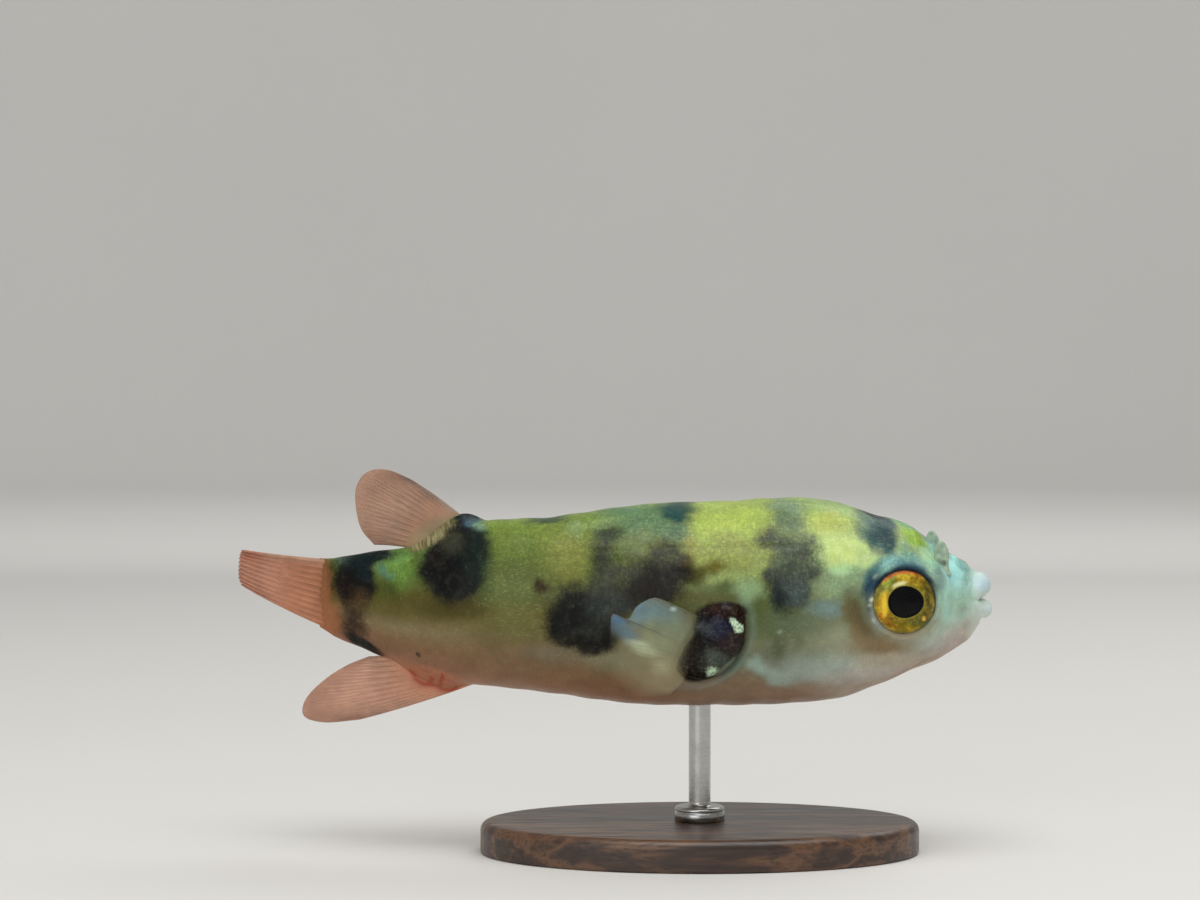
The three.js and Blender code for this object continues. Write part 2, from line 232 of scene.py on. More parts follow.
def swung(points):
    """Carries points of the straight fish to the swinging tail: the midline bends to the left
    along a circle from SWING_START to TAIL_ROOT and along a tighter one through the fin."""
    x, y, z = np.moveaxis(points, -1, 0)
    body_run = SWING_START - TAIL_ROOT
    run = np.maximum(SWING_START - x, 0)
    body_turn = np.minimum(run / body_run, 1) * BODY_SWING
    turn = body_turn + np.maximum(run - body_run, 0) / CAUDAL_LENGTH * FIN_SWING
    body_radius, fin_radius = body_run / BODY_SWING, CAUDAL_LENGTH / FIN_SWING
    middle_x = np.maximum(x, SWING_START) - body_radius * np.sin(body_turn)
    middle_x -= fin_radius * (np.sin(turn) - np.sin(body_turn))
    middle_y = body_radius * (1 - np.cos(body_turn))
    middle_y += fin_radius * (np.cos(body_turn) - np.cos(turn))
    return np.stack([middle_x + y * np.sin(turn), middle_y + y * np.cos(turn), z], -1)


def ring_normals(grid):
    """Outward unit normals of a grid of rings: the cross product of its steps both ways."""
    along = np.gradient(grid, axis=0)
    around = (np.roll(grid, -1, 1) - np.roll(grid, 1, 1)) / 2
    normal = np.cross(along, around)
    return normal / np.maximum(np.linalg.norm(normal, axis=-1, keepdims=True), 1e-9)


# ---------- Making meshes ----------

def signed_volume(points, quads, triangles):
    """Six times the enclosed volume, positive where the faces point outwards."""
    fans = np.concatenate([quads[:, [0, 1, 2]], quads[:, [0, 2, 3]], triangles])
    a, b, c = (points[fans[:, k]] for k in range(3))
    return np.einsum("ij,ij->i", a, np.cross(b, c)).sum()


def make_piece(name, points, faces, fields, material, nodes):
    """A closed smooth mesh that rides on the body and stands for the named solids. fields are
    numbers, or colours in linear light, kept at each point for the material to read."""
    quads, triangles = faces
    if signed_volume(points, quads, triangles) < 0:
        quads, triangles = quads[:, ::-1], triangles[:, ::-1]
    mesh = bpy.data.meshes.new(name)
    mesh.from_pydata((points * MM).tolist(), [], quads.tolist() + triangles.tolist())
    mesh.shade_smooth()
    for key, values in fields.items():
        values = np.asarray(values, np.float32)
        if values.ndim == 1:
            mesh.attributes.new(key, "FLOAT", "POINT").data.foreach_set("value", values)
        else:
            opaque = np.column_stack([values, np.ones(len(values), np.float32)])
            mesh.attributes.new(key, "FLOAT_COLOR", "POINT").data.foreach_set("color", opaque.ravel())
    mesh.materials.append(material)
    made = bpy.data.objects.new(name, mesh)
    bpy.context.scene.collection.objects.link(made)
    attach(made, "root")
    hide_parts(*nodes)


def make_ringed(name, rings, poles, fields, material, nodes):
    """A piece of rings that closes to a pole at each end."""
    points = with_poles(rings, *poles)
    make_piece(name, points, ring_faces(*rings.shape[:2]), fields, material, nodes)


def ring_faces(rows, columns):
    """Faces of a tube of rings, with a fan to a pole at each end: the poles are the last points."""
    ring = np.arange(columns)
    after = np.roll(ring, -1)
    row = np.arange(rows - 1)[:, None] * columns
    quads = np.stack([row + ring, row + columns + ring, row + columns + after, row + after], -1)
    first, last = np.full(columns, rows * columns), np.full(columns, rows * columns + 1)
    final = (rows - 1) * columns
    fans = [np.stack([first, ring, after], -1), np.stack([last, final + after, final + ring], -1)]
    return quads.reshape(-1, 4), np.concatenate(fans)


def with_poles(grid, first_pole, last_pole):
    """The grid's points in one list, followed by its two poles."""
    return np.concatenate([grid.reshape(-1, 3), [first_pole], [last_pole]])


def full_turn(count):
    """Angles once round, evenly spaced."""
    return np.linspace(0, 2 * np.pi, count, endpoint=False)


def turned_points(profile, turns):
    """Rings of a profile of (radius, height) carried round the upright axis."""
    radius, height = np.asarray(profile, float).T
    x = radius[:, None] * np.cos(turns)
    y = radius[:, None] * np.sin(turns)
    return np.stack([x, y, np.broadcast_to(height[:, None], x.shape)], -1)


# ---------- Node helpers ----------

def colour(red, green, blue):
    """A screen colour from 0 to 255 as linear light, with full alpha."""
    return (*tone(red, green, blue).tolist(), 1.0)


def add_node(tree, kind, settings=None, **inputs):
    """A node with its settings, whose inputs (spaces written as _) are values or other outputs."""
    node = tree.nodes.new(kind)
    for key, value in (settings or {}).items():
        setattr(node, key, value)
    for key, value in inputs.items():
        plug_in(tree, node.inputs[key.replace("_", " ")], value)
    return node


def plug_in(tree, socket, value):
    """Links an output into a socket, or sets a plain value on it."""
    if isinstance(value, bpy.types.NodeSocket):
        tree.links.new(value, socket)
    else:
        socket.default_value = value


def maths(tree, operation, first, second=0.0, third=0.0):
    """One arithmetic step between numbers or outputs."""
    node = add_node(tree, "ShaderNodeMath", {"operation": operation})
    for socket, value in zip(node.inputs, (first, second, third)):
        plug_in(tree, socket, value)
    return node.outputs[0]


def times(tree, first, second):
    """One number or output times another."""
    return maths(tree, "MULTIPLY", first, second)


def weighted(tree, *parts, start=0.0):
    """start plus every part times its weight."""
    total = start
    for value, weight in parts:
        total = maths(tree, "MULTIPLY_ADD", value, weight, total)
    return total


def remap(tree, value, low, high, start=0.0, end=1.0):
    """value from low..high to start..end along a soft S, held at both ends."""
    node = add_node(tree, "ShaderNodeMapRange", {"interpolation_type": "SMOOTHSTEP"}, Value=value)
    for key, number in (("From Min", low), ("From Max", high), ("To Min", start), ("To Max", end)):
        plug_in(tree, node.inputs[key], number)
    return node.outputs[0]


def blend(tree, share, first, second, way="MIX"):
    """Colour first, changed towards colour second by share."""
    node = add_node(tree, "ShaderNodeMix", {"data_type": "RGBA", "blend_type": way})
    for index, value in ((0, share), (6, first), (7, second)):
        plug_in(tree, node.inputs[index], value)
    return node.outputs[2]


def laid(tree, tint, shade, cover, strength):
    """A shade laid over a colour as far as its cover times a strength."""
    return blend(tree, times(tree, cover, strength), tint, shade)


def ramp(tree, share, stops):
    """A colour ramp from (place, colour) stops, of which there are at least two."""
    node = add_node(tree, "ShaderNodeValToRGB", Fac=share)
    elements = node.color_ramp.elements
    while len(elements) < len(stops):
        elements.new(1.0)
    for element, (at, tint) in zip(elements, stops):
        element.position = at
        element.color = tint
    return node.outputs[0]


def field(tree, name):
    """A number kept at each point of the mesh."""
    return add_node(tree, "ShaderNodeAttribute", {"attribute_name": name}).outputs["Fac"]


def painted(tree, name):
    """A colour kept at each point of the mesh."""
    return add_node(tree, "ShaderNodeAttribute", {"attribute_name": name}).outputs["Color"]


def place(tree):
    """Where a point of the piece is, in metres."""
    return add_node(tree, "ShaderNodeTexCoord").outputs["Object"]


def noise(tree, vector, scale, detail=3.0, roughness=0.5):
    """Smooth chance values about one half, scale of them to the metre."""
    return add_node(
        tree, "ShaderNodeTexNoise", Vector=vector, Scale=scale, Detail=detail, Roughness=roughness
    ).outputs["Fac"]


def vector_maths(tree, operation, vector, fixed):
    """One step between a place and a fixed vector, as the node's outputs."""
    node = add_node(tree, "ShaderNodeVectorMath", {"operation": operation}, Vector=vector)
    node.inputs[1].default_value = fixed
    return node.outputs


def stretched_noise(tree, vector, counts, detail=3.0, roughness=0.5):
    """Noise with its own count to the metre along x, y and z."""
    scaled = vector_maths(tree, "MULTIPLY", vector, counts)["Vector"]
    return noise(tree, scaled, 1.0, detail, roughness)


def flat_noise(tree, across, up, detail, roughness):
    """Noise on a flat sheet that two outputs measure."""
    sheet = add_node(tree, "ShaderNodeCombineXYZ", X=across, Y=up).outputs[0]
    return noise(tree, sheet, 1.0, detail, roughness)


def new_group(name, inputs, outputs):
    """An empty node group with its sockets, as (group, its input node, its output node)."""
    group = bpy.data.node_groups.new(name, "ShaderNodeTree")
    for direction, sockets in (("INPUT", inputs), ("OUTPUT", outputs)):
        for key, (kind, value) in sockets.items():
            socket = group.interface.new_socket(key, in_out=direction, socket_type="NodeSocket" + kind)
            if value is not None:
                socket.default_value = value
    return group, group.nodes.new("NodeGroupInput").outputs, group.nodes.new("NodeGroupOutput").inputs


def use_group(tree, group, **inputs):
    """Places a node group with its inputs (spaces written as _), and gives its outputs."""
    node = tree.nodes.new("ShaderNodeGroup")
    node.node_tree = group
    for key, value in inputs.items():
        plug_in(tree, node.inputs[key.replace("_", " ")], value)
    return node.outputs


def grainy_group():
    """Breaks up a soft mask: grain of two fine sizes is added where the mask changes, and the
    result is sharpened about one half."""
    group, given, result = new_group(
        "grainy edge",
        {"Mask": ("Float", 0.0), "Grain": ("Float", 0.35), "Softness": ("Float", 0.3)},
        {"Mask": ("Float", None)},
    )
    where = place(group)
    fine, coarse = noise(group, where, 3800, 2.0, 0.6), noise(group, where, 1400, 3.0, 0.6)
    # Both noises are a half on average, and the start takes that off.
    both = weighted(group, (fine, 1.1), (coarse, 1.0), start=-1.05)
    moved = weighted(group, (both, given["Grain"]), start=given["Mask"])
    low = maths(group, "SUBTRACT", 0.5, given["Softness"])
    high = maths(group, "ADD", 0.5, given["Softness"])
    plug_in(group, result["Mask"], remap(group, moved, low, high))
    return group


def relief_group():
    """Height of the fine skin: close-set pimples, soft dimples and shallow upright creases."""
    group, given, result = new_group("fine relief", {"Scale": ("Float", 1.0)}, {"Height": ("Float", None)})
    where = place(group)
    pimples = add_node(
        group, "ShaderNodeTexVoronoi", {"feature": "SMOOTH_F1"}, Vector=where,
        Scale=times(group, given["Scale"], 3600), Smoothness=0.6,
    ).outputs["Distance"]
    dimples = noise(group, where, times(group, given["Scale"], 1100))
    creases = stretched_noise(group, where, (2600, 700, 700), 2.0)
    height = weighted(group, (dimples, 0.8), (pimples, -0.5), (creases, 0.5))
    plug_in(group, result["Height"], height)
    return group


GRAINY = grainy_group()
RELIEF = relief_group()


def new_material(name):
    """A material with its node tree and its shader."""
    material = bpy.data.materials.new(name)
    material.use_nodes = True
    tree = material.node_tree
    return material, tree, tree.nodes["Principled BSDF"]


def set_shader(shader, **values):
    """Sets what is the same all over on the shader's own sockets (spaces written as _)."""
    for key, value in values.items():
        shader.inputs[key.replace("_", " ")].default_value = value


def finish_surface(tree, shader, height, depth, **inputs):
    """Feeds the shader, with height (0 to 1) as relief of the given depth in millimetres."""
    for key, value in inputs.items():
        plug_in(tree, shader.inputs[key.replace("_", " ")], value)
    bump = add_node(tree, "ShaderNodeBump", Height=height, Distance=depth * MM, Strength=1.0)
    tree.links.new(bump.outputs["Normal"], shader.inputs["Normal"])


# ---------- The skin's shape ----------

EYE_CENTRE = box_mm("eye_left")[2]
# The skin round an eye: its radii from the eyeball outwards, its height along the eye's axis, and
# how far it rises on the crest and the brow and drops in the groove and the socket.
ORBIT = {
    "inner": 3.0, "crest": 3.6, "groove": 4.3, "outer": 5.9, "level": 1.82, "brow": 3.7,
    "crest_rise": 0.16, "brow_rise": 0.12, "groove_drop": 0.55, "socket_drop": 3.0,
}
# The pectoral lobe's outline: how much it bends, how far back that moves it, and its squareness.
LOBE_OUTLINE = {"bend": 0.05, "back": 0.25, "power": 2.5}
# How far the flesh rises on the pectoral lobe and the rim round it, and sinks in the slit between
# them and along the lateral line, and how high its slow waves are.
FLESH = {"lobe": 1.05, "rim": 0.14, "slit": 0.34, "line": 0.06, "waves": 0.03}
MOUTH_LEVEL = 25.5
MOUTH_POLE = (27.0, 0, MOUTH_LEVEL)
MUZZLE_START = 24.9
# The muzzle's rings. First come sections of the body at each x, and sections whose top, bottom
# and corners lie at three xs. Ovals follow: those three xs, then half heights above and below
# the mouth and the half width. The last two lie inside the mouth.
CHEEK_STATIONS = (22.9, 23.9, MUZZLE_START)
SNOUT_SECTIONS = ((25.9, 25.9, 25.5), (26.55, 26.85, 26.1))
SNOUT_OVALS = (((27.05, 27.45, 26.6), (3.1, 3.3, 2.95)), ((27.4, 27.95, 26.9), (2.88, 2.5, 2.6)))
LIP_MIDDLE = ((27.8, 28.3, 27.25), (1.4, 1.02, 1.95))
MOUTH_OVALS = (((27.8, 27.9, 27.0), (0.16, 0.12, 1.3)), ((27.5, 27.5, 26.9), (0.12, 0.1, 0.7)))
# The lips' thickness in the middle of each and at the corners, how their rolls face sideways and
# up, and the turns in degrees of the rings round a roll.
LIP = {"upper": 1.33, "lower": 0.98, "corner": 0.42, "sideways": 1.2, "upwards": 2.05}
LIP_TURNS = (-8, 22, 52, 82, 110, 136, 158, 176)
# Rings between the muzzle's named ones: from which, to which, and how many. Named rings 0 and 1
# only lead the curve in.
MUZZLE_SPANS = ((2, 6, 21), (6, 14, 37), (14, 16, 8))
SKIN_COLUMNS = 300
BODY_ROWS = 242
TAPER_ROWS = 12
# The skin thins onto the caudal fin: how far back, how far its lower edge rises on the way, and
# how much of its thickness goes.
TAIL_TAPER = {"long": 1.5, "lift": 0.95, "thinning": 0.97}


def eye_frame(side):
    """Centre of an eye and its directions: outwards along its axis, forwards and up."""
    outward = np.array([math.sin(EYE_FORWARD), side * math.cos(EYE_FORWARD), 0])
    forward = np.array([math.cos(EYE_FORWARD), -side * math.sin(EYE_FORWARD), 0])
    return EYE_CENTRE * [1, side, 1], outward, forward, np.array([0, 0, 1.0])


def eye_places(points, side):
    """Points seen from an eye: their height along its axis, and their place forwards and up."""
    centre, outward, forward, up = eye_frame(side)
    away = points - centre
    return away @ outward, away @ forward, away @ up


def set_orbit(points, side):
    """Moves the skin along the eye's axis: to a raised ring round the eyeball, a shallow groove
    outside it, and down behind the eyeball inside it."""
    height, forward, up = eye_places(points, side)
    away = np.hypot(forward, up)
    inner, crest = ORBIT["inner"], ORBIT["crest"]
    ring = ORBIT["level"] + ORBIT["crest_rise"] * bell(away, crest, 0.3)
    ring = ring - ORBIT["groove_drop"] * ease(away, crest, ORBIT["groove"])
    ring = ring + ORBIT["brow_rise"] * bell(up, ORBIT["brow"], 0.8) * (away > inner)
    ring = ring - ORBIT["socket_drop"] * ease(-away, -inner - 0.05, -inner + 0.5)
    share = 1 - ease(away, crest + 0.25, ORBIT["outer"])
    share = share * (points[..., 1] * side > 0)
    return points + (share * (ring - height))[..., None] * eye_frame(side)[1]


def lobe_distance(points):
    """Distance from the middle of the pectoral lobe, 1 on its edge, and the place across it: an
    oval that leans forwards and bends a little."""
    x, z = points[..., 0] - LOBE["x"], points[..., 2] - LOBE["z"]
    across = x * math.cos(LOBE["lean"]) - z * math.sin(LOBE["lean"])
    along = x * math.sin(LOBE["lean"]) + z * math.cos(LOBE["lean"])
    bent = across + LOBE_OUTLINE["bend"] * along ** 2 - LOBE_OUTLINE["back"]
    power = LOBE_OUTLINE["power"]
    away = np.abs(bent / LOBE["wide"]) ** power + np.abs(along / LOBE["long"]) ** power
    return away ** (1 / power), bent


def ridge(points, lump):
    """Height of the fleshy ridge that a fin grows from, along the back or the belly."""
    along = np.clip((points[..., 0] - lump["rear"]) / (lump["front"] - lump["rear"]), 0, 1)
    swell = np.sin(np.pi * along ** (math.log(0.5) / math.log(lump["peak"]))) ** 1.2
    upright = (points[..., 2] - AXIS_HEIGHT) * lump["way"] > 0
    return lump["rise"] * swell * bell(points[..., 1], 0, 0.75) * upright


def muzzle_rings(angles):
    """Rings from the cheeks round the lips into the mouth. Each lip is a roll carried round
    the mouth's oval, thickest in the middle and thin at the corners."""
    side, up = np.sin(angles), np.cos(angles)
    is_upper = up > 0

    def forward(top, bottom, corner):
        """The x of a ring: its top's or bottom's by the upright share, its corners' by the rest."""
        return np.where(is_upper, top, bottom) * up ** 2 + corner * side ** 2

    def oval(xs, halves):
        """An oval about the mouth, leaning as its three xs say."""
        above, below, half = halves
        height = MOUTH_LEVEL + np.where(is_upper, above, below) * up
        return np.stack([forward(*xs), half * side, height], -1)

    rings = [section(x, angles) for x in CHEEK_STATIONS]
    rings += [section(forward(*xs), angles) for xs in SNOUT_SECTIONS]
    rings += [oval(*ring) for ring in SNOUT_OVALS]
    thick = np.where(is_upper, LIP["upper"], LIP["lower"])
    radius = LIP["corner"] + (thick - LIP["corner"]) * np.abs(up) ** 0.8
    outward = np.stack([np.zeros_like(side), side * LIP["sideways"], up * LIP["upwards"]], -1)
    outward /= np.linalg.norm(outward, axis=-1, keepdims=True)
    for turn in np.radians(LIP_TURNS):
        step = outward * math.cos(turn) + np.array([math.sin(turn), 0, 0])
        rings.append(oval(*LIP_MIDDLE) + radius[:, None] * step)
    rings += [oval(*ring) for ring in MOUTH_OVALS]
    return np.array(rings)


def skin_grid():
    """The straight fish as rings of points from the tail's end to the inside of the mouth, and
    for each point how far it lies along the muzzle's named rings, which is 0 behind them."""
    def crowding_round(angle):
        """How close the columns stand: closest at the midlines and on the flanks."""
        midlines = bell(angle, 0, 0.2) + bell(angle, np.pi, 0.2) + bell(angle, 2 * np.pi, 0.2)
        return 1 + 0.8 * midlines + 0.45 * np.sin(angle) ** 4

    def crowding_along(x):
        """How close the rings stand: closest at the head, the pectoral lobe and the tail."""
        return 1 + 1.5 * ease(x, 12.5, 15) + 0.8 * bell(x, 1, 4.5) + 0.4 * bell(x, -26, 5)

    angles = spaced(0, 2 * np.pi, SKIN_COLUMNS + 1, crowding_round)[:-1]
    along = spaced(TAIL_ROOT, MUZZLE_START, BODY_ROWS, crowding_along)
    body = section(along[:, None], angles[None, :])
    share = np.linspace(1, 0, TAPER_ROWS + 1)[:-1, None]
    tail_end = np.repeat(body[:1], TAPER_ROWS, 0)
    low, high = body[0, :, 2].min(), body[0, :, 2].max()
    tail_end[..., 0] -= TAIL_TAPER["long"] * share
    tail_end[..., 1] *= 1 - TAIL_TAPER["thinning"] * ease(share, -0.1, 1)
    tail_end[..., 2] += TAIL_TAPER["lift"] * share * (high - tail_end[..., 2]) / (high - low)
    rings = muzzle_rings(angles)
    steps = [np.linspace(start, end, count + 1)[1:] for start, end, count in MUZZLE_SPANS]
    steps = np.concatenate(steps)
    muzzle = curve_through(rings, steps / (len(rings) - 1))
    grid = np.concatenate([tail_end, body, muzzle])
    on_muzzle = np.concatenate([np.zeros(len(tail_end) + len(body)), steps])
    return grid, np.broadcast_to(on_muzzle[:, None], grid.shape[:2])


def shaped_skin(grid):
    """The grid with its fleshy ridges, pectoral lobes, gill slits, hollows and eye rings."""
    x, y, z = np.moveaxis(grid, -1, 0)
    away, across = lobe_distance(grid)
    front = ease(across, -1.0, 1.2)
    lift = FLESH["lobe"] * np.sqrt(np.clip(1 - away ** 3, 0, 1))
    lift = lift - FLESH["slit"] * bell(away, 1.1, 0.12) * (0.2 + 0.8 * front)
    lift = lift + FLESH["rim"] * bell(away, 1.32, 0.2) * (0.15 + 0.85 * front)
    lift = lift - FLESH["line"] * lateral_line(x, z, 0.22)
    for dent_x, dent_z, long, tall, depth in DENTS:
        lift = lift + depth * bell(np.hypot((x - dent_x) / long, (z - dent_z) / tall), 0, 1)
    lift = lift * (np.abs(y) > 3)
    waves = np.sin(x * 0.9 + 1.3 * z) * np.sin(z * 0.8 - 0.4 * x) + np.sin(x * 1.7 - z * 0.6 + y)
    lift = lift + FLESH["waves"] * waves * ease(-x, -27, -22)
    shaped = grid + ring_normals(grid) * lift[..., None]
    for lump in (DORSAL_LUMP, ANAL_LUMP):
        shaped[..., 2] += lump["way"] * ridge(grid, lump)
    for _, side in SIDES:
        shaped = set_orbit(shaped, side)
    return shaped


def lateral_line(x, z, wide):
    """1 on the lateral line, which runs nearly level along the upper flank."""
    level = 31.2 - 0.004 * (x - 2) ** 2 * (x < 2)
    return bell(z, level, wide) * ease(x, -22, -18) * ease(-x, -12, -8)


# Hollows (negative) and swellings of the flanks: x, z, half length, half height, depth.
DENTS = [
    (14.6, 25.0, 1.5, 3.4, -0.4),
    (19.0, 19.9, 4.0, 1.4, -0.25),
    (10.5, 21.0, 4.2, 3.0, 0.28),
    (23.6, 24.0, 1.6, 2.2, -0.25),
    (5.9, 26.5, 0.9, 4.0, -0.18),
    (-12.0, 20.0, 6.0, 2.0, 0.12),
    (-33.0, 25.4, 2.6, 1.2, 0.12),
]


# ---------- The skin's markings ----------

def oval_mark(x, z, mark):
    """A soft oval: 1 inside and 0 outside, eased over the share soft of its radius.
    mark is x, z, half length, half height, soft, strength and lean in degrees."""
    at_x, at_z, long, tall, soft, strength, lean = mark
    turn = math.radians(lean)
    along = (x - at_x) * math.cos(turn) + (z - at_z) * math.sin(turn)
    across = (z - at_z) * math.cos(turn) - (x - at_x) * math.sin(turn)
    away = np.hypot(along / long, across / tall)
    return strength * (1 - ease(away, 1 - soft, 1 + soft))


def marked(x, z, marks):
    """Ovals laid over each other: one minus the product of what each leaves uncovered."""
    bare = np.ones_like(x)
    for mark in marks:
        bare = bare * (1 - oval_mark(x, z, mark))
    return 1 - bare


def covered(x, z, washes):
    """Washes of (colour, ovals) as (colour, cover) at each place."""
    return [(shade, marked(x, z, marks)) for shade, marks in washes]


# The bare skin from the belly (0) to the back (1), region after region towards the snout: where
# a region starts to show, where it covers, and its colours.
GROUND = {
    "tail": (-60, -59, [
        (0.0, (160, 114, 88)), (0.1, (132, 95, 73)), (0.22, (128, 98, 70)), (0.34, (126, 112, 80)),
        (0.46, (100, 90, 46)), (0.6, (92, 86, 36)), (0.75, (94, 110, 52)), (1.0, (112, 142, 80)),
    ]),
    "trunk": (-27, -20, [
        (0.0, (166, 126, 102)), (0.1, (132, 101, 76)), (0.22, (121, 98, 70)), (0.34, (110, 99, 62)),
        (0.46, (99, 88, 40)), (0.6, (96, 102, 56)), (0.72, (98, 110, 52)), (0.86, (118, 137, 64)),
        (1.0, (130, 154, 68)),
    ]),
    "shoulder": (-9, 0, [
        (0.0, (158, 128, 106)), (0.1, (144, 120, 98)), (0.24, (122, 113, 86)), (0.38, (108, 116, 84)),
        (0.52, (94, 102, 58)), (0.62, (118, 132, 84)), (0.72, (146, 154, 88)), (1.0, (168, 186, 100)),
    ]),
    "head": (8, 13, [
        (0.0, (152, 127, 107)), (0.1, (165, 154, 140)), (0.2, (170, 181, 170)), (0.32, (146, 150, 124)),
        (0.45, (122, 128, 98)), (0.58, (136, 154, 118)), (0.72, (196, 214, 164)), (0.84, (192, 208, 142)),
        (0.93, (182, 194, 116)), (1.0, (160, 184, 122)),
    ]),
    "snout": (21.3, 24.2, [
        (0.0, (150, 127, 113)), (0.1, (172, 158, 150)), (0.24, (178, 178, 168)), (0.4, (176, 200, 186)),
        (0.55, (174, 206, 188)), (0.75, (184, 222, 212)), (0.9, (160, 206, 198)), (1.0, (128, 170, 156)),
    ]),
}

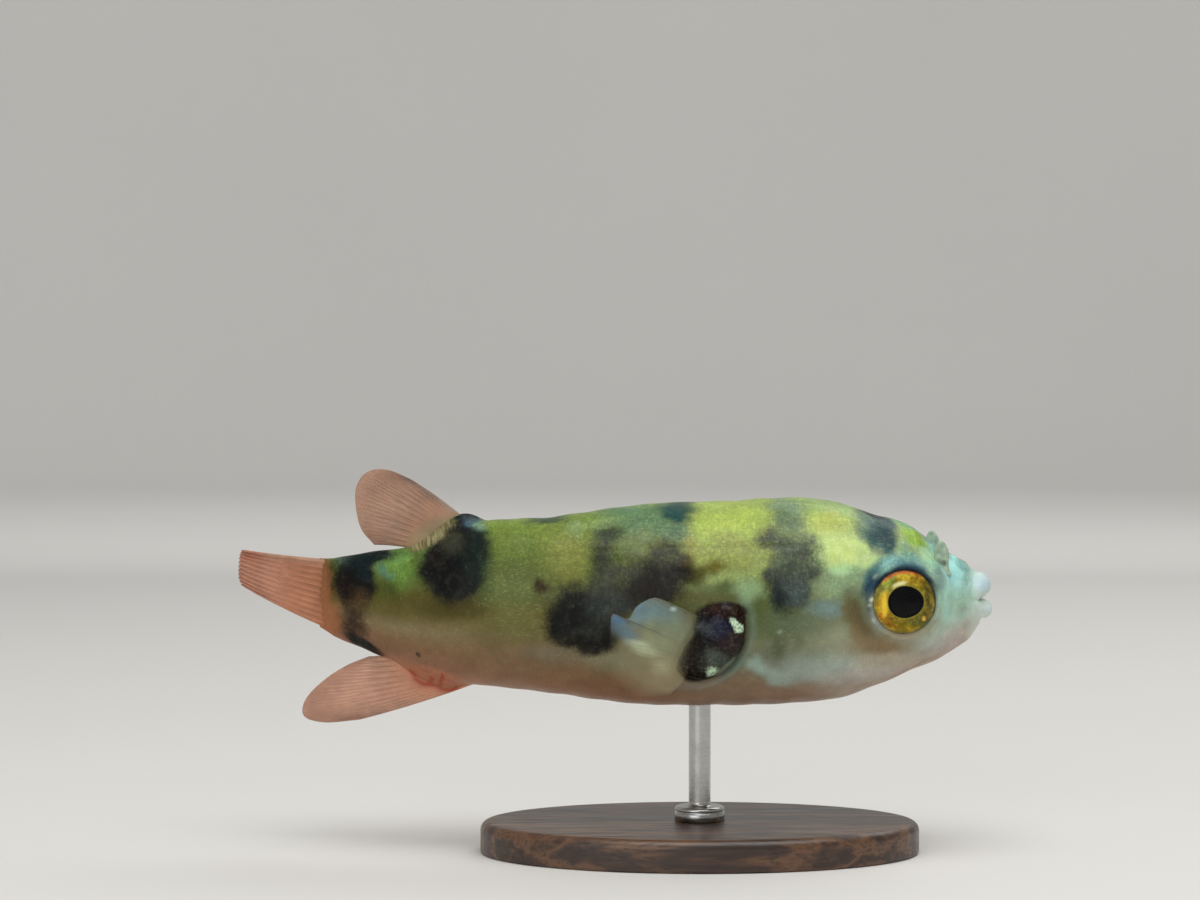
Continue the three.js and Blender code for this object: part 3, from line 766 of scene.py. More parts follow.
# Soft washes over the bare skin, in the order they are laid: a colour, then its ovals.
WASHES = [
    # back of the tail, with the green patch and the pale streak beside the tail's bar
    ((104, 138, 64), [(-29.6, 28.6, 1.7, 2.1, 0.5, 0.9, 0)]),
    ((116, 158, 84), [(-29.9, 29.5, 1.0, 0.8, 0.6, 0.9, 10)]),
    ((94, 136, 110), [(-31.0, 28.1, 1.1, 0.5, 0.6, 0.9, -35)]),
    ((74, 84, 32), [(-31.3, 26.4, 1.3, 1.2, 0.7, 0.8, 0), (-28.2, 29.8, 0.5, 1.2, 0.7, 0.7, 0)]),
    ((49, 68, 40), [(-20.9, 28.8, 0.9, 2.4, 0.8, 0.8, 0)]),
    ((66, 58, 18), [(-23.4, 25.0, 3.6, 1.1, 0.8, 0.8, 0)]),
    ((142, 92, 58), [(-37.6, 23.2, 1.6, 1.9, 0.6, 0.9, 0)]),
    ((112, 74, 34), [(-37.9, 27.0, 1.0, 2.2, 0.6, 0.9, 0)]),
    ((120, 90, 66), [(-31.5, 20.8, 1.8, 0.9, 0.7, 0.8, -20)]),
    # flank
    ((110, 108, 62), [(-18.0, 23.6, 3.4, 1.6, 0.8, 0.6, 0)]),
    ((112, 124, 70), [(-18.2, 27.2, 2.6, 2.6, 0.8, 0.55, 0)]),
    ((104, 108, 42), [(-12.8, 27.9, 1.4, 1.0, 0.7, 0.8, 0)]),
    ((150, 154, 82), [(-12.6, 30.6, 2.2, 2.1, 0.85, 0.8, 0)]),
    ((118, 108, 88), [(-13.8, 20.6, 3.2, 0.9, 0.7, 0.7, 0)]),
    ((130, 128, 100), [(-8.4, 20.0, 2.6, 1.2, 0.8, 0.9, -8)]),
    ((150, 174, 118), [(-12.2, 32.9, 0.9, 0.6, 0.7, 0.9, 0), (-9.3, 33.3, 1.5, 0.65, 0.7, 0.9, 8)]),
    ((58, 80, 56), [(-15.2, 33.5, 2.0, 0.42, 0.6, 0.95, 5)]),
    # back over the saddle
    ((102, 136, 104), [(-5.4, 33.3, 2.8, 1.3, 0.6, 0.95, 4)]),
    ((90, 132, 98), [(-7.0, 34.5, 3.0, 0.5, 0.6, 0.8, 5)]),
    ((30, 76, 74), [(-2.3, 34.5, 1.9, 1.05, 0.5, 1.0, 0)]),
    ((104, 134, 108), [(-2.4, 32.6, 1.5, 0.8, 0.6, 0.9, 0)]),
    ((122, 138, 92), [(-7.0, 31.2, 1.3, 0.9, 0.6, 0.9, 0), (-5.7, 32.2, 1.0, 0.7, 0.6, 0.8, 0)]),
    ((98, 104, 72), [(-6.6, 30.2, 1.1, 0.6, 0.6, 0.8, 0)]),
    # gold shoulder
    ((184, 196, 104), [(2.7, 33.2, 3.5, 2.3, 0.5, 0.95, 0)]),
    ((164, 174, 100), [(2.6, 30.7, 3.2, 1.6, 0.6, 0.9, 0), (-0.9, 31.2, 0.8, 1.0, 0.6, 0.9, 0)]),
    ((160, 174, 110), [(5.6, 29.6, 1.0, 1.2, 0.6, 0.9, 0)]),
    ((156, 132, 66), [(-1.0, 31.0, 0.6, 1.1, 0.9, 0.35, 0)]),
    ((98, 66, 42), [(-1.5, 29.6, 0.5, 0.8, 0.8, 0.8, 0)]),
    ((80, 76, 28), [(-0.5, 28.6, 1.3, 0.9, 0.6, 0.9, 0)]),
    ((104, 96, 30), [(1.1, 29.3, 0.8, 0.5, 0.8, 0.95, 0)]),
    ((152, 168, 106), [(1.4, 28.1, 1.2, 0.5, 0.6, 0.95, 0), (3.6, 28.2, 1.4, 0.7, 0.6, 0.9, 0)]),
    ((94, 108, 68), [(2.4, 27.2, 1.3, 0.45, 0.7, 0.9, 0)]),
    ((148, 176, 130), [(4.5, 26.8, 1.4, 1.3, 0.6, 0.95, 0)]),
    ((98, 98, 58), [(-1.4, 26.5, 2.4, 0.7, 0.7, 0.9, 0), (1.6, 26.2, 1.6, 0.5, 0.7, 0.8, 0)]),
    ((86, 98, 57), [(6.2, 24.4, 1.6, 1.9, 0.6, 0.85, 0)]),
    ((96, 112, 98), [(2.6, 19.9, 1.7, 1.0, 0.7, 0.95, 50)]),
    # shoulder behind the head
    ((112, 134, 108), [(8.5, 33.7, 1.7, 1.6, 0.5, 0.9, 0)]),
    ((132, 158, 128), [(8.4, 34.9, 1.9, 0.6, 0.6, 0.8, 0)]),
    ((108, 128, 102), [(7.6, 29.8, 1.0, 0.6, 0.7, 0.8, 0)]),
    ((146, 162, 124), [(11.6, 27.9, 1.3, 1.3, 0.7, 0.9, 0)]),
    ((117, 140, 139), [(12.0, 25.3, 2.0, 0.9, 0.6, 0.85, -10)]),
    ((90, 102, 80), [(9.0, 23.8, 2.6, 1.3, 0.8, 0.75, 0)]),
    ((116, 134, 116), [(8.6, 19.8, 4.2, 1.7, 0.8, 0.55, 0)]),
    ((82, 90, 64), [(7.3, 21.2, 0.7, 1.4, 0.8, 0.85, 0), (9.3, 21.9, 0.5, 0.9, 0.8, 0.4, 10)]),
    ((146, 166, 138), [(7.6, 23.0, 0.22, 0.2, 0.8, 0.8, 0)]),
    # pale band under the cheek
    ((150, 172, 158), [(5.4, 19.5, 1.1, 0.75, 0.6, 0.9, -50), (7.0, 18.5, 1.6, 0.6, 0.6, 0.8, -12)]),
    ((158, 170, 162), [(10.4, 19.0, 3.4, 1.3, 0.8, 0.75, 2)]),
    ((173, 168, 158), [(16.2, 18.7, 3.2, 0.8, 0.7, 0.8, 4)]),
    # gold crown
    ((188, 196, 108), [(12.6, 33.2, 1.7, 1.0, 0.6, 0.95, -4)]),
    ((205, 219, 154), [(14.3, 31.0, 1.5, 1.2, 0.7, 0.95, 0), (13.6, 29.9, 1.4, 0.9, 0.7, 0.95, 0)]),
    ((190, 219, 181), [(13.6, 29.0, 1.2, 0.5, 0.7, 0.9, 0)]),
    ((150, 178, 138), [(13.2, 27.7, 1.3, 0.9, 0.7, 0.8, 0), (15.0, 28.5, 0.8, 0.7, 0.7, 0.8, 0)]),
    # painted shade: brown in the hollows behind and under the eye, this line and the next two
    ((104, 92, 58), [(14.6, 24.9, 0.8, 1.7, 0.7, 0.9, 14)]),
    ((118, 98, 64), [(15.5, 22.9, 1.1, 1.0, 0.7, 0.8, -40)]),
    ((130, 109, 76), [(17.6, 21.3, 3.4, 1.15, 0.75, 0.95, -2)]),
    ((170, 157, 134), [(18.0, 19.9, 3.0, 0.8, 0.7, 0.8, 0)]),
    # nape, crown and snout
    ((96, 128, 110), [(17.2, 33.5, 1.8, 0.6, 0.6, 0.9, -16)]),
    ((94, 130, 118), [(16.7, 32.5, 1.2, 0.9, 0.7, 0.9, 0)]),
    ((50, 84, 86), [(18.0, 32.8, 1.3, 1.4, 0.5, 1.0, 0), (18.1, 31.2, 1.0, 1.2, 0.55, 1.0, 0)]),
    ((62, 96, 94), [(17.3, 31.7, 0.9, 1.1, 0.5, 1.0, 0)]),
    ((34, 62, 72), [(18.0, 32.0, 0.7, 0.9, 0.8, 0.8, 0)]),
    ((24, 44, 47), [(17.7, 33.9, 1.9, 0.26, 0.5, 1.0, -12)]),
    ((124, 162, 122), [(20.4, 30.9, 1.3, 0.8, 0.6, 0.9, -25)]),
    ((150, 184, 56), [(21.0, 31.8, 1.6, 0.5, 0.5, 1.0, -34)]),
    ((128, 178, 132), [(20.3, 33.0, 1.4, 0.28, 0.6, 0.9, -22)]),
    ((172, 202, 168), [(22.5, 30.2, 0.6, 0.45, 0.6, 0.9, 0)]),
    ((174, 216, 214), [(25.0, 28.4, 0.9, 1.2, 0.6, 0.9, -10)]),
    ((190, 236, 230), [(25.0, 29.3, 0.55, 0.5, 0.7, 0.95, -30)]),
    ((124, 174, 170), [(26.2, 28.7, 0.9, 0.35, 0.6, 0.9, -35), (26.2, 27.6, 0.35, 0.7, 0.7, 0.5, 0)]),
    ((176, 212, 196), [(24.2, 25.0, 0.6, 1.7, 0.7, 0.8, 0)]),
    ((142, 164, 150), [(25.6, 24.8, 1.2, 1.3, 0.9, 0.4, 0)]),
    ((100, 130, 124), [(23.1, 27.7, 0.7, 1.3, 0.8, 0.7, 0)]),
    ((170, 186, 170), [(23.3, 22.9, 0.9, 0.6, 0.7, 0.8, 0)]),
    ((176, 165, 149), [(26.7, 22.6, 0.9, 0.8, 0.7, 0.8, 0)]),
    ((148, 152, 138), [(26.1, 24.7, 0.35, 0.3, 0.9, 0.3, 0), (26.3, 22.9, 0.4, 0.4, 0.8, 0.5, 0)]),
]

# Dark patches of skin, each with its colour and its oval.
DARK = [
    ((10, 8, 7), (-34.6, 27.3, 2.35, 2.7, 0.28, 1.0, 0)),
    ((22, 38, 38), (-33.3, 29.5, 3.2, 0.75, 0.45, 1.0, 6)),
    ((84, 64, 38), (-34.5, 24.0, 1.5, 1.7, 0.7, 0.8, 0)),
    ((74, 54, 36), (-34.8, 22.4, 1.4, 1.0, 0.8, 0.85, -10)),
    ((54, 38, 20), (-37.1, 27.6, 0.3, 1.6, 0.8, 0.5, 0)),
    ((16, 7, 7), (-33.6, 20.65, 2.1, 0.7, 0.5, 1.0, -26)),
    ((8, 9, 9), (-24.2, 28.5, 3.4, 3.2, 0.26, 1.0, 0)),
    ((8, 12, 14), (-23.0, 31.4, 2.2, 2.1, 0.35, 1.0, 0)),
    ((20, 30, 38), (-23.5, 33.7, 1.4, 0.8, 0.4, 1.0, -10)),
    ((8, 7, 6), (-11.8, 24.7, 2.6, 2.6, 0.5, 1.0, 0)),
    ((8, 7, 6), (-13.0, 23.3, 1.9, 1.9, 0.4, 1.0, 0)),
    ((8, 7, 6), (-10.3, 22.4, 2.6, 2.0, 0.35, 1.0, 0)),
    ((54, 60, 57), (-8.4, 26.0, 2.2, 1.9, 0.6, 0.95, 0)),
    ((62, 67, 48), (-9.4, 30.2, 1.25, 2.7, 0.8, 0.85, 0)),
    ((78, 82, 64), (-7.4, 27.4, 1.5, 1.1, 0.8, 0.6, 0)),
    ((72, 84, 62), (-8.6, 32.3, 1.6, 0.7, 0.8, 0.8, 0)),
    ((74, 76, 64), (-6.6, 28.4, 2.2, 1.7, 0.8, 0.85, 0)),
    ((38, 32, 28), (-3.5, 28.6, 2.1, 2.2, 0.55, 1.0, 0)),
    ((68, 70, 56), (-3.4, 30.7, 1.7, 1.4, 0.8, 0.85, 0)),
    ((38, 33, 28), (-5.2, 26.8, 2.2, 1.2, 0.6, 1.0, 0)),
    ((48, 42, 22), (-1.6, 28.6, 0.9, 0.6, 0.8, 0.8, 0)),
    ((72, 80, 64), (6.5, 31.9, 1.3, 0.8, 0.8, 0.85, 0)),
    ((84, 94, 78), (7.8, 31.1, 1.2, 0.8, 0.8, 0.7, 0)),
    ((84, 92, 80), (9.9, 30.6, 1.7, 1.2, 0.8, 0.85, 0)),
    ((104, 118, 96), (10.4, 31.8, 1.2, 0.8, 0.9, 0.6, 0)),
    ((88, 94, 78), (9.0, 29.3, 1.8, 1.0, 0.8, 0.8, 0)),
    ((66, 70, 56), (10.8, 28.9, 1.1, 0.7, 0.8, 0.85, 20)),
    ((44, 52, 52), (7.9, 27.0, 1.5, 2.1, 0.6, 1.0, 0)),
    ((80, 92, 90), (9.4, 27.2, 1.2, 1.4, 0.7, 0.85, 0)),
    ((64, 66, 60), (6.9, 28.5, 0.9, 0.8, 0.7, 0.9, 0)),
    ((64, 46, 10), (-15.3, 27.2, 0.66, 0.66, 0.9, 1.0, 0)),
    ((54, 46, 36), (-27.75, 20.15, 0.24, 0.24, 0.5, 1.0, 0)),
]
# Lit windows where the skin shows through the dark patches.
LIT = [
    (-7.0, 31.1, 1.2, 0.9, 0.9, 0.7, 0), (-5.9, 32.5, 0.5, 0.7, 0.8, 0.6, 0),
    (-7.6, 27.6, 0.8, 0.8, 0.9, 0.35, 0), (-3.2, 30.3, 0.6, 0.5, 0.9, 0.3, 0),
    (-7.6, 29.6, 1.1, 0.6, 0.9, 0.35, 0),
]
# Washes inside the dark patches.
DARK_WASHES = [
    ((30, 14, 8), [(-35.8, 26.0, 1.1, 1.6, 0.7, 0.9, 0)]),
    ((12, 34, 38), [(-33.2, 28.6, 1.3, 1.3, 0.7, 0.9, 0)]),
    ((92, 108, 100), [(-36.8, 29.25, 1.5, 0.4, 0.6, 0.9, 0)]),
    ((24, 15, 13), [(-26.6, 30.0, 1.3, 1.3, 0.7, 0.9, 0)]),
    ((44, 42, 32), [(-26.8, 26.4, 0.9, 1.0, 0.7, 0.8, 0)]),
    ((14, 34, 28), [(-21.8, 29.8, 1.2, 2.8, 0.7, 0.9, 0)]),
    # painted highlights: blue and aqua sheen on top of the dark mark over the dorsal ridge, this line and
    # the next
    ((74, 104, 116), [(-23.0, 33.4, 0.9, 0.4, 0.6, 0.95, -16)]),
    ((140, 176, 146), [(-21.9, 33.0, 0.7, 0.4, 0.7, 0.95, -20)]),
    ((62, 64, 50), [(-24.4, 31.1, 1.05, 1.0, 0.7, 0.95, 0)]),
    ((52, 58, 50), [(-11.0, 23.1, 1.3, 0.6, 0.8, 0.8, 0), (-10.9, 24.6, 0.5, 0.9, 0.8, 0.5, 0)]),
    ((40, 36, 22), [(-13.3, 22.0, 1.0, 0.6, 0.8, 0.8, 0), (-10.6, 20.9, 1.4, 0.5, 0.7, 0.9, 0)]),
    ((34, 28, 28), [(-2.4, 28.6, 1.0, 1.0, 0.7, 0.9, 0), (-4.6, 27.6, 1.0, 0.8, 0.8, 0.6, 0)]),
    ((78, 72, 66), [(-3.1, 29.9, 0.9, 0.7, 0.8, 0.7, 0)]),
    ((26, 40, 40), [(7.6, 25.9, 0.8, 0.9, 0.7, 0.95, 0)]),
    ((106, 118, 100), [(7.9, 29.6, 2.6, 0.9, 0.8, 0.8, 0), (11.2, 29.2, 1.0, 1.0, 0.8, 0.7, 0)]),
    ((86, 94, 86), [(8.2, 28.3, 1.6, 0.6, 0.8, 0.6, 0)]),
    # pectoral lobe
    ((10, 9, 9), [(0.8, 21.6, 4.6, 5.6, 0.15, 1.0, 0)]),
    ((46, 22, 13), [(1.8, 25.2, 2.4, 0.7, 0.6, 1.0, -4), (4.1, 23.2, 0.5, 2.0, 0.6, 0.9, 8)]),
    ((26, 36, 66), [(1.5, 23.3, 1.1, 1.1, 0.7, 0.95, 0)]),
    ((72, 80, 84), [(-0.1, 23.2, 1.0, 0.6, 0.8, 0.8, -10)]),
    ((88, 94, 82), [(2.0, 20.2, 1.3, 0.8, 0.9, 0.8, 40), (0.3, 20.2, 0.7, 0.9, 0.9, 0.5, 0)]),
    ((104, 118, 108), [(0.9, 20.5, 0.7, 0.55, 0.9, 0.75, 20)]),
    ((56, 38, 38), [(2.3, 21.5, 1.1, 0.8, 0.8, 0.7, 0), (2.6, 22.2, 0.8, 0.8, 0.9, 0.5, 0)]),
    ((34, 22, 12), [(-1.4, 20.2, 0.6, 1.6, 0.6, 0.9, -10)]),
]
# Where pale flecks are scattered: flecks of the skin that also serve as painted glints.
FLECKS_AND_GLINTS = [
    (-18.0, 27.0, 3.6, 3.0, 0.8, 1.0, 0), (-15.5, 23.4, 1.6, 1.4, 0.8, 0.8, 0),
    (-22.0, 22.4, 8.0, 1.2, 0.8, 0.35, 0), (-10.5, 20.2, 3.0, 0.8, 0.8, 0.8, 0),
    (-6.0, 33.2, 4.5, 1.3, 0.8, 0.6, 0), (8.6, 30.0, 3.0, 3.6, 0.8, 0.7, 0),
    (-9.0, 29.0, 4.0, 4.0, 0.8, 0.4, 0), (-11.5, 23.8, 3.4, 3.0, 0.7, 0.45, 0),
    (8.0, 22.5, 3.0, 2.0, 0.8, 0.5, 0), (14.0, 30.5, 3.0, 3.0, 0.8, 0.5, 0),
    (17.6, 32.2, 1.8, 1.8, 0.6, 0.7, 0),
]
# Pale glints on the pectoral lobe.
GLINTS = [
    (3.2, 23.75, 0.85, 0.36, 0.4, 1.0, -52), (3.45, 23.4, 0.5, 0.42, 0.5, 1.0, -52),
    (0.95, 19.2, 0.6, 0.42, 0.9, 0.72, 6), (0.75, 18.9, 0.35, 0.4, 0.9, 0.4, 0),
]
# Dark skin that reaches past the pectoral lobe at its top and its lower rear.
LOBE_SHADE = [
    (1.6, 24.7, 2.2, 1.1, 0.6, 1.0, -2), (0.1, 23.5, 1.0, 1.5, 0.6, 1.0, 0),
    (3.1, 24.9, 1.1, 0.85, 0.6, 1.0, -12),
    (-0.7, 19.9, 1.5, 2.1, 0.25, 1.0, -8), (-0.2, 21.4, 1.2, 1.4, 0.3, 1.0, 0),
]
# Painted highlights: wet sparks in the corner behind each eye.
SPARKS = [
    (16.6, 26.05, 0.3, 0.2, 0.6, 1.0, 20), (16.35, 25.5, 0.2, 0.14, 0.8, 0.5, 0),
    (16.72, 24.0, 0.12, 0.24, 0.8, 0.5, 20), (16.9, 28.3, 0.3, 0.14, 0.8, 0.35, 50),
]
# Bare skin that reaches over the lobe's lower front.
LOBE_PALE = [(2.8, 19.1, 1.9, 0.95, 0.35, 1.0, 45)]
# Flesh at the roots of the dorsal and anal fins.
DORSAL_FLESH = [(-26.4, 31.9, 3.0, 1.05, 0.5, 1.0, 24), (-28.1, 31.2, 1.0, 0.6, 0.7, 0.8, 20)]
ANAL_FLESH = [(-26.2, 17.5, 3.5, 1.0, 0.4, 1.0, -14)]
# Colours round an eye, from the groove in to the eyeball's rim and over it: each with its strength,
# a band between two radii, and a sector between two directions in degrees, from the snout (0) over
# the top (90). Band and sector end with how softly they stop.
ORBIT_WASHES = [
    ((128, 182, 172), 0.9, (2.8, 4.7, 0.45), (56, 150, 20)),
    # painted highlight on the crest above the eye
    ((156, 208, 206), 0.85, (3.8, 4.5, 0.35), (98, 122, 9)),
    ((88, 140, 140), 0.9, (3.9, 4.6, 0.4), (124, 156, 12)),
    # blue skin over the iris, darkened as painted shade under the lid
    ((62, 112, 126), 0.85, (2.8, 4.0, 0.4), (46, 106, 16)),
    ((32, 68, 92), 0.95, (3.1, 4.3, 0.35), (134, 172, 12)),
    # navy next to the iris: painted shade under the lid's edge over blue skin
    ((30, 54, 80), 0.95, (2.8, 3.45, 0.22), (24, 160, 14)),
    ((78, 90, 86), 0.8, (2.8, 3.2, 0.15), (-30, 26, 14)),
    # painted shadow in the groove below and behind the eye
    ((98, 88, 64), 0.7, (4.2, 5.3, 0.5), (180, 226, 18)),
    ((146, 154, 146), 0.85, (2.8, 3.5, 0.15), (166, 214, 10)),
    ((72, 90, 98), 0.8, (3.5, 3.85, 0.14), (166, 212, 10)),
    ((150, 158, 148), 0.9, (2.6, 3.9, 0.25), (196, 234, 12)),
    ((178, 166, 142), 0.85, (2.6, 3.6, 0.25), (232, 305, 16)),
]
# Veins in the flesh over the anal fin: the x and z that each runs through.
ANAL_VEINS = [
    [(-29.15, 18.2), (-28.9, 17.75), (-28.5, 17.15), (-27.7, 16.72), (-26.6, 16.62), (-26.1, 16.4),
     (-25.4, 16.15), (-24.4, 16.4)],
    [(-26.2, 16.45), (-26.0, 16.95), (-25.75, 17.35), (-25.5, 17.8)],
    [(-27.4, 16.7), (-27.0, 17.1), (-26.9, 17.5)],
]


def off_veins(x, z):
    """How far each place by the anal fin lies from the nearest vein; far off everywhere else."""
    far_off = 9.0
    gap = np.full(len(x), far_off)
    close = (np.abs(x + 26.5) < 4) & (z < 19.5)
    at = np.stack([x[close], z[close]], -1)
    for vein in ANAL_VEINS:
        line = curve_through(vein, np.linspace(0, 1, 60))
        gap[close] = np.minimum(gap[close], np.linalg.norm(at[:, None] - line, axis=-1).min(1))
    return gap


def wandered(points):
    """The points' x and z, moved about by clouds of three sizes so that edges wander."""
    moved = points[:, [0, 2]].copy()
    for size, reach in ((2.6, 0.3), (1.1, 0.24), (0.55, 0.17)):
        for axis in (0, 1):
            moved[:, axis] += reach * clouds(points, size, 17 + axis)
    return moved.T


def clouds_at(x, z, size, seed):
    """Clouds read off a flat sheet of x and z."""
    return clouds(np.stack([x, np.zeros_like(x), z], -1), size, seed)


def ground_paint(points, x, z):
    """The skin's colour without its dark patches: ramps up the sides, each region blended into
    the next along the body, then the soft washes and a faint unevenness."""
    inner_x = np.clip(points[:, 0], TAIL_ROOT, STATIONS[-1, 0])
    low, high = AXIS_HEIGHT - station(inner_x, 2), AXIS_HEIGHT + back_at(inner_x)
    rise = (0.35 * z + 0.65 * points[:, 2] - low) / (high - low)
    paint = np.zeros((len(x), 3))
    for start, full, stops in GROUND.values():
        cover = ease(x + 0.15 * (z - 26), start, full)[:, None]
        paint = paint + cover * (graded(rise, stops) - paint)
    paint = layered(paint, covered(x, z, WASHES))
    lower = 1 - ease(rise, 0.3, 0.65)
    gain = 1.05 + lower * (0.14 + 0.07 * ease(x, 5, 12)) + 0.07 * ease(z, 25, 28)
    gain = gain + 0.05 * bell(x, -8, 4) * ease(z, 31.5, 33)
    gain = gain + 0.1 * clouds(points, 1.5, 5) + 0.09 * clouds(points, 0.7, 6)
    blue = 1 - 0.07 * (1 - lower) * (1 - ease(x, 8, 16))
    return paint * gain[:, None] * np.stack([np.ones_like(x), np.ones_like(x), blue], -1)


def dark_paint(x, z):
    """Where the dark patches lie, and their colour, which reaches a little past their edges."""
    bare = np.ones_like(x)
    paint = tone(12, 11, 10)
    for shade, (at_x, at_z, long, tall, soft, strength, lean) in DARK:
        patch = (at_x, at_z, long, tall, min(1.3 * soft, 0.98), strength, lean)
        reach = (at_x, at_z, 1.25 * long, 1.25 * tall, 0.4, 1, lean)
        bare = bare * (1 - oval_mark(x, z, patch))
        paint = washed(paint, shade, oval_mark(x, z, reach))
    paint = layered(paint, covered(x, z, DARK_WASHES))
    shadows = 1 + 0.24 * clouds_at(x, z, 1.3, 61) + 0.2 * clouds_at(x, z, 0.6, 62)
    return (1 - bare) * (1 - marked(x, z, LIT)), paint * np.clip(shadows, 0.4, 1.9)[:, None]


def skin_fields(points, on_muzzle):
    """The numbers and colours that the skin's material reads, from the straight fish's points."""
    x, y, z = points.T
    wandering = wandered(points)
    near = x + 0.12 * clouds(points, 0.6, 41), z + 0.12 * clouds(points, 0.6, 42)
    on_side = (np.abs(y) > 3).astype(float)
    in_open = 1 - ease(on_muzzle, 13.2, 14.6)
    lips = ease(on_muzzle, 2.5, 8.0) * in_open
    # White lips with bluish fronts and a greener crease behind them, a pale mouth, and the tail's
    # end in the colour of the caudal fin's root.
    ground = layered(ground_paint(points, *wandering), (
        ((214, 226, 218), 0.85 * ease(x, 25.9, 27.9) * in_open),
        ((206, 226, 234), 0.9 * ease(x, 26.6, 28.0) * bell(z, 27.1, 0.9) * in_open),
        ((218, 232, 236), 0.85 * lips * bell(z, 24.5, 0.5) * ease(x, 27.9, 28.6)),
        ((128, 164, 152), 0.35 * bell(x, 26.4, 0.3) * ease(z, 26.8, 27.6) * ease(-z, -28.8, -28.4)),
        ((206, 208, 196), 1 - in_open),
        ((166, 108, 72), 0.9 * ease(-x - 0.12 * (z - 26), 36.7, 38.1)),
    ))
    away, across = lobe_distance(points)
    # Painted highlights behind the eyes, then the pectoral lobe's pale rim and painted shade in its slit.
    ground = layered(orbit_paint(points, ground), (
        ((236, 240, 216), marked(x, z, SPARKS) * on_side),
        ((118, 146, 138), 0.3 * bell(away, 1.3, 0.17) * ease(across, -0.4, 1.4) * on_side),
        # painted shade in the slit round the lobe
        ((60, 48, 36), 0.5 * bell(away, 1.06, 0.08) * ease(across, -1.6, 1.0) * on_side),
    ))
    dark, mark_colour = dark_paint(*wandering)
    off_lobe = ease(away + 0.05 * clouds(points, 0.9, 31), 0.96, 1.1)
    lobe = 1 - (1 - marked(*near, LOBE_SHADE)) * off_lobe
    return {
        "ground": ground,
        "mark_colour": mark_colour,
        "dark": dark,
        "lobe": lobe * (1 - marked(*near, LOBE_PALE)) * on_side,
        "glint": marked(*near, GLINTS) * on_side,
        "flecks_and_glints": marked(*wandering, FLECKS_AND_GLINTS),
        "dorsal_flesh": marked(*near, DORSAL_FLESH),
        "anal_flesh": marked(*near, ANAL_FLESH),
        "anal_veins": bell(off_veins(*near), 0, 0.2),
        "lateral": lateral_line(x, z, 0.15),
        "wet": 0.35 + 0.65 * ease(z, 22, 32),
    }


def orbit_paint(points, ground):
    """Colours round the eyes, by distance and direction from each: a navy band behind and over
    the iris, darkened over it as painted shade under the lid, teal above it with a painted
    highlight, a pale ring below and behind, and painted shadow in the groove outside that."""
    for _, side in SIDES:
        height, forward, up = eye_places(points, side)
        away = np.hypot(forward, up) + 0.12 * clouds(points, 0.8, 51)
        near = (points[:, 1] * side > 2) & (height > -1.5)
        turn = np.degrees(np.arctan2(up, forward)) % 360
        for shade, strength, (inner, outer, soft), (start, end, blur) in ORBIT_WASHES:
            band = ease(away, inner - soft, inner + soft) * (1 - ease(away, outer - soft, outer + soft))
            off, half = np.abs((turn - (start + end) / 2 + 180) % 360 - 180), (end - start) / 2
            sector = 1 - ease(off, half - blur, half + blur)
            ground = washed(ground, shade, near * strength * band * sector)
    return ground


# ---------- Skin material ----------

